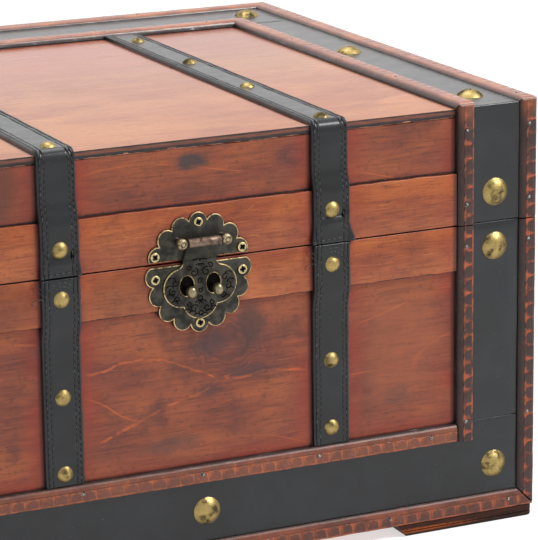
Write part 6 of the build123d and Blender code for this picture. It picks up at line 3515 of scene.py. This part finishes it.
@dataclass
class Brads:
    """Small steel brads, sunk into the mouldings and beads, each in a dent ringed by painted shade.

    They stand on the middle lines of the mouldings and beads, evenly spaced between the ends.
    """

    finishes: Finishes
    end: float = 14.0
    spacing: float = 84.0
    step: float = 6.0
    leg: float = SIZES.moulding_leg / 2 - SIZES.moulding
    half_bead: float = SIZES.bead / 2
    crown: float = SIZES.leather + 4.0
    x: float = SIZES.half_width - leg
    ys: tuple[float, float] = (SIZES.front + leg, SIZES.back - leg)
    bead_x: float = SIZES.half_width - SIZES.side_trim + half_bead
    near: float = SIZES.front + SIZES.side_trim - half_bead
    far: float = SIZES.back - SIZES.side_trim + half_bead
    bead_ys: tuple[float, float] = (near, far)
    cross: float = SIZES.back - SIZES.back_trim + half_bead
    bottom: float = SIZES.foot + SIZES.moulding_leg / 2
    bead_low: float = SIZES.bottom_trim + half_bead
    top: float = SIZES.top - leg

    def spaced(self, start: float, end: float) -> list[float]:
        """Space brads evenly along a moulding.

        Args:
            start: Where the moulding starts.
            end: Where it ends.

        Returns:
            The brads' places along it.
        """
        length = end - start - 2 * self.end
        gaps = max(1, round(length / self.spacing))
        return [start + self.end + length * station / gaps for station in range(gaps + 1)]

    def model(self, dent: bool) -> bpy.types.Object:
        """Turn one brad: a small domed head, in a dent whose ring is painted black as shade, or flush in the
        wood.

        Args:
            dent: Whether it has a dent with its ring of painted shade.

        Returns:
            The brad.
        """
        profile = [(0.85, 0.1), (0.82, 0.4), (0.6, 0.62), (0.2, 0.7)]
        if dent:
            profile = [(1.5, -0.7), (1.3, 0.12), (1.05, 0.16), *profile]
        else:
            profile = [(radius * 0.8, height - 0.4) for radius, height in profile]
        brad = turned("brad", profile, Matrix.Identity(4), 10)
        for material in (self.finishes.steel, self.finishes.engraving):
            brad.data.materials.append(material)
        # The ring round the head of a dented brad is painted black as shade.
        for face in brad.data.polygons:
            middle = face.center / MM
            face.material_index = int(dent and middle.z < 0.14)
        smooth(brad, 50)
        return brad

    def put(self, node: str, spots: list[tuple[Vector, Vector]], body: str) -> None:
        """Drive a copy of the brad in at each place.

        Args:
            node: The CAD node they stand for.
            spots: Places and the directions that the heads face.
            body: The body they ride on.
        """
        model, plain = self.model(True), self.model(False)
        copies = []
        for spot, out in spots:
            brad = copy_of(plain if out is Z else model, "brad")
            lean = Vector([random.uniform(-0.12, 0.12) for axis in range(3)])
            turn = (out + lean).to_track_quat("Z", "Y").to_matrix().to_4x4()
            brad.matrix_world = Matrix.Translation(spot * MM) @ turn
            copies.append(brad)
        for shape in (model, plain):
            bpy.data.objects.remove(shape, do_unlink=True)
        piece = join("sunk_" + node, copies)
        place(piece, piece.matrix_world.copy())
        dress(piece, self.finishes.steel, body)
        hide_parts(node)

    def sides(self, base: list[tuple[Vector, Vector]], lid: list[tuple[Vector, Vector]]) -> None:
        """List the brads that both ends of the trunk have.

        Args:
            base: Where the base's brads are added.
            lid: Where the lid's brads are added.
        """
        rise, lid_rise = (
            self.spaced(SIZES.bottom_trim, SIZES.base_top), self.spaced(SIZES.lid_bottom, SIZES.top)
        )
        deep = self.spaced(SIZES.front, SIZES.back)
        face_y, wall = SIZES.front - self.crown, SIZES.half_width + self.crown
        for sign in (-1, 1):
            x, edge, out = sign * self.x, sign * SIZES.edge_x, sign * X
            for spots, heights in ((base, rise), (lid, lid_rise)):
                spots += [(Vector((x, SIZES.edge_front, z)), -Y) for z in heights]
                spots += [(Vector((x, SIZES.edge_back, z)), Y) for z in heights]
                spots += [(Vector((sign * self.bead_x, face_y, z)), -Y) for z in heights]
            for y in self.ys:
                base += [(Vector((edge, y, z - self.step)), out) for z in rise]
                lid += [(Vector((edge, y, z + self.step)), out) for z in lid_rise[:-1]]
            for y in self.bead_ys:
                base += [(Vector((sign * wall, y, z)), out) for z in rise]
                high = SIZES.edge_top - SIZES.moulding_leg - SIZES.gap
                lid += [(Vector((sign * wall, y, z)), out) for z in self.spaced(SIZES.lid_bottom, high)]
            base += [(Vector((edge, y, self.bottom)), out) for y in deep]
            long_bead = self.spaced(self.bead_ys[0] + SIZES.bead, self.bead_ys[1] - SIZES.bead)
            base += [(Vector((sign * wall, y, self.bead_low)), out) for y in long_bead]
            lid += [(Vector((edge, y + self.step, self.top)), out) for y in deep[:-1]]
            lid += [(Vector((x, y, SIZES.edge_top)), Z) for y in deep]
            top_bead = self.spaced(SIZES.front, self.cross)
            lid += [(Vector((sign * self.bead_x, y, SIZES.top + self.crown)), Z) for y in top_bead]

    def build(self) -> None:
        """Place all brads of the base and the lid."""
        base: list[tuple[Vector, Vector]] = []
        lid: list[tuple[Vector, Vector]] = []
        self.sides(base, lid)
        long = self.spaced(-self.x, self.x)
        short = self.spaced(SIZES.bead - self.bead_x, self.bead_x - SIZES.bead)
        base += [(Vector((x, SIZES.edge_front, self.bottom)), -Y) for x in long]
        base += [(Vector((x, SIZES.edge_back, self.bottom)), Y) for x in long]
        base += [(Vector((x, SIZES.front - self.crown, self.bead_low)), -Y) for x in short]
        lid += [(Vector((x + self.step, SIZES.edge_back, self.top)), Y) for x in long[1:-1]]
        lid += [(Vector((x, self.ys[1], SIZES.edge_top)), Z) for x in long[1:-1]]
        lid += [(Vector((x, self.cross, SIZES.top + self.crown)), Z) for x in short]
        self.put("base_brads", base, "base")
        self.put("lid_brads", lid, "lid")


@dataclass
class CadFinishes:
    """Materials for the solids whose CAD form is kept."""

    finishes: Finishes
    by_word: dict[str, bpy.types.Material] = field(init=False)

    def __post_init__(self) -> None:
        """List the finishes by words in the nodes' names, the first that fits."""
        finishes = self.finishes
        self.by_word = {
            "brads": finishes.steel,
            "leaves": finishes.bronze,
            "pin": finishes.bronze,
            "screws": finishes.screw,
            "nails": finishes.brass,
            "clasp": finishes.bronze,
            "hasp": finishes.bronze,
            "strap": finishes.strap,
            "handle": finishes.strap,
            "leather": finishes.band,
            "moulding": finishes.moulding,
            "bead": finishes.moulding,
            "end_battens": finishes.end_batten,
            "back_batten": finishes.back_batten,
            "batten": finishes.batten,
            "foot": finishes.foot,
            "top_board": finishes.top,
            "lid_front": finishes.lid_panel,
            "base_front": finishes.panel,
            "left_board": finishes.end_panel,
            "right_board": finishes.end_panel,
            "board": finishes.inside,
        }

    def build(self, frame: dict) -> None:
        """Assign each solid's material.
        """
        for node, piece in frame["nodes"].items():
            finish = next(finish for word, finish in self.by_word.items() if word in node)
            piece.data.materials.clear()
            piece.data.materials.append(finish)


# Camera, light and floor.


@dataclass
class Viewpoint:
    """The camera of the photograph: its place in millimetres, its turns in radians and its lens."""

    place_mm: tuple[float, float, float] = (-724.4, -1883.8, 686.0)
    yaw: float = 0.4346
    pitch: float = 0.2583
    roll: float = -0.0132
    lens: float = 195.31
    sensor: float = 36.0
    reach: float = 50.0

    def build(self) -> None:
        """Add the camera and look through it."""
        data = bpy.data.cameras.new("photo_camera")
        data.lens = self.lens
        data.sensor_width = self.sensor
        data.clip_end = self.reach
        camera = bpy.data.objects.new("photo_camera", data)
        bpy.context.collection.objects.link(camera)
        level = math.cos(self.pitch)
        forward = Vector((math.sin(self.yaw) * level, math.cos(self.yaw) * level, -math.sin(self.pitch)))
        right = Vector((math.cos(self.yaw), -math.sin(self.yaw), 0))
        up = right.cross(forward)
        turned_right = right * math.cos(self.roll) + up * math.sin(self.roll)
        turned_up = up * math.cos(self.roll) - right * math.sin(self.roll)
        matrix = Matrix((turned_right, turned_up, -forward)).transposed().to_4x4()
        matrix.translation = Vector(self.place_mm) * MM
        camera.matrix_world = matrix
        bpy.context.scene.camera = camera


@dataclass
class Studio:
    """White surroundings, soft light from above and from the front right, and a pale floor.

    The places of the lamps and the sizes are in metres, the powers in watts.
    """

    fill: float = 0.3
    glow: float = 0.62
    floor_size: float = 12.0
    floor_drop: float = 0.0002
    aim: tuple[float, float, float] = (0.0, 0.0, 0.15)
    key_spot: tuple[float, float, float] = (1.3, -1.1, 1.9)
    key_size: float = 0.9
    key_power: float = 48.0
    top_spot: tuple[float, float, float] = (0.1, 0.6, 2.4)
    top_size: float = 1.4
    top_power: float = 26.0

    def lamp(self, name: str, spot: Sequence[float], size: float, power: float) -> None:
        """Add a square soft light that looks at the trunk.

        Args:
            name: The light's name.
            spot: Its place in metres.
            size: The length of its side in metres.
            power: Its power in watts.
        """
        data = bpy.data.lights.new(name, "AREA")
        data.shape = "SQUARE"
        data.size = size
        data.energy = power
        lamp = bpy.data.objects.new(name, data)
        bpy.context.collection.objects.link(lamp)
        lamp.location = spot
        aim = Vector(self.aim) - Vector(spot)
        lamp.rotation_euler = aim.to_track_quat("-Z", "Y").to_euler()

    def surroundings(self) -> None:
        """Light evenly from all sides, and show white to the camera, in gloss and through glass."""
        world = bpy.data.worlds.new("white_studio")
        bpy.context.scene.world = world
        recipe = Recipe(world)
        path = recipe.add("LightPath")
        total = path.outputs["Is Camera Ray"]
        for name in ("Is Glossy Ray", "Is Transmission Ray"):
            total = recipe.add("Math", (total, path.outputs[name]), operation="MAXIMUM")
        level = recipe.add("MapRange", {"Value": total, "To Min": self.fill, "To Max": 1.0})
        light = recipe.add("Background", {"Color": WHITE, "Strength": level})
        recipe.add("OutputWorld", {"Surface": light})

    def floor(self) -> None:
        """Lay a pale sheet of studio paper under the trunk."""
        bpy.ops.object.select_all(action="DESELECT")
        bpy.ops.mesh.primitive_plane_add(size=self.floor_size, location=(0, 0, -self.floor_drop))
        floor = bpy.context.object
        floor.name = "studio_floor"
        recipe = Recipe(bpy.data.materials.new("white_studio_paper"))
        spot = recipe.add("TexCoord").outputs["Object"]
        tone = recipe.add(
            "MapRange",
            (
                recipe.add(
                    "TexNoise", {"Vector": spot, "Scale": per_size(900), "Detail": 2.0, "Roughness": 0.55}
                ),
                0.3,
                0.7,
                0.62,
                0.64,
            ),
            interpolation_type="SMOOTHSTEP",
        )
        colour = recipe.add("CombineColor", (tone, tone, tone))
        glow = {"Emission Color": WHITE, "Emission Strength": self.glow}
        floor.data.materials.append(recipe.finish({"Base Color": colour, "Roughness": 0.9, **glow}))

    def build(self) -> None:
        """Set up the light and the floor."""
        self.surroundings()
        self.floor()
        self.lamp("key_light", self.key_spot, self.key_size, self.key_power)
        self.lamp("top_light", self.top_spot, self.top_size, self.top_power)
        bpy.context.scene.view_settings.view_transform = "Standard"


def main() -> None:
    """Build the whole visual model in order."""
    logging.basicConfig(level=logging.INFO, format="%(name)s %(message)s")
    random.seed(7)
    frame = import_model()
    finishes = Finishes()
    CadFinishes(finishes).build(frame)
    for part in (Mouldings, Beads, LeatherBands, Straps, Handles, Battens, TopBoard, Feet, Brads, Clasp):
        part(finishes).build()
    Viewpoint().build()
    Studio().build()


if __name__ == "__main__":
    main()
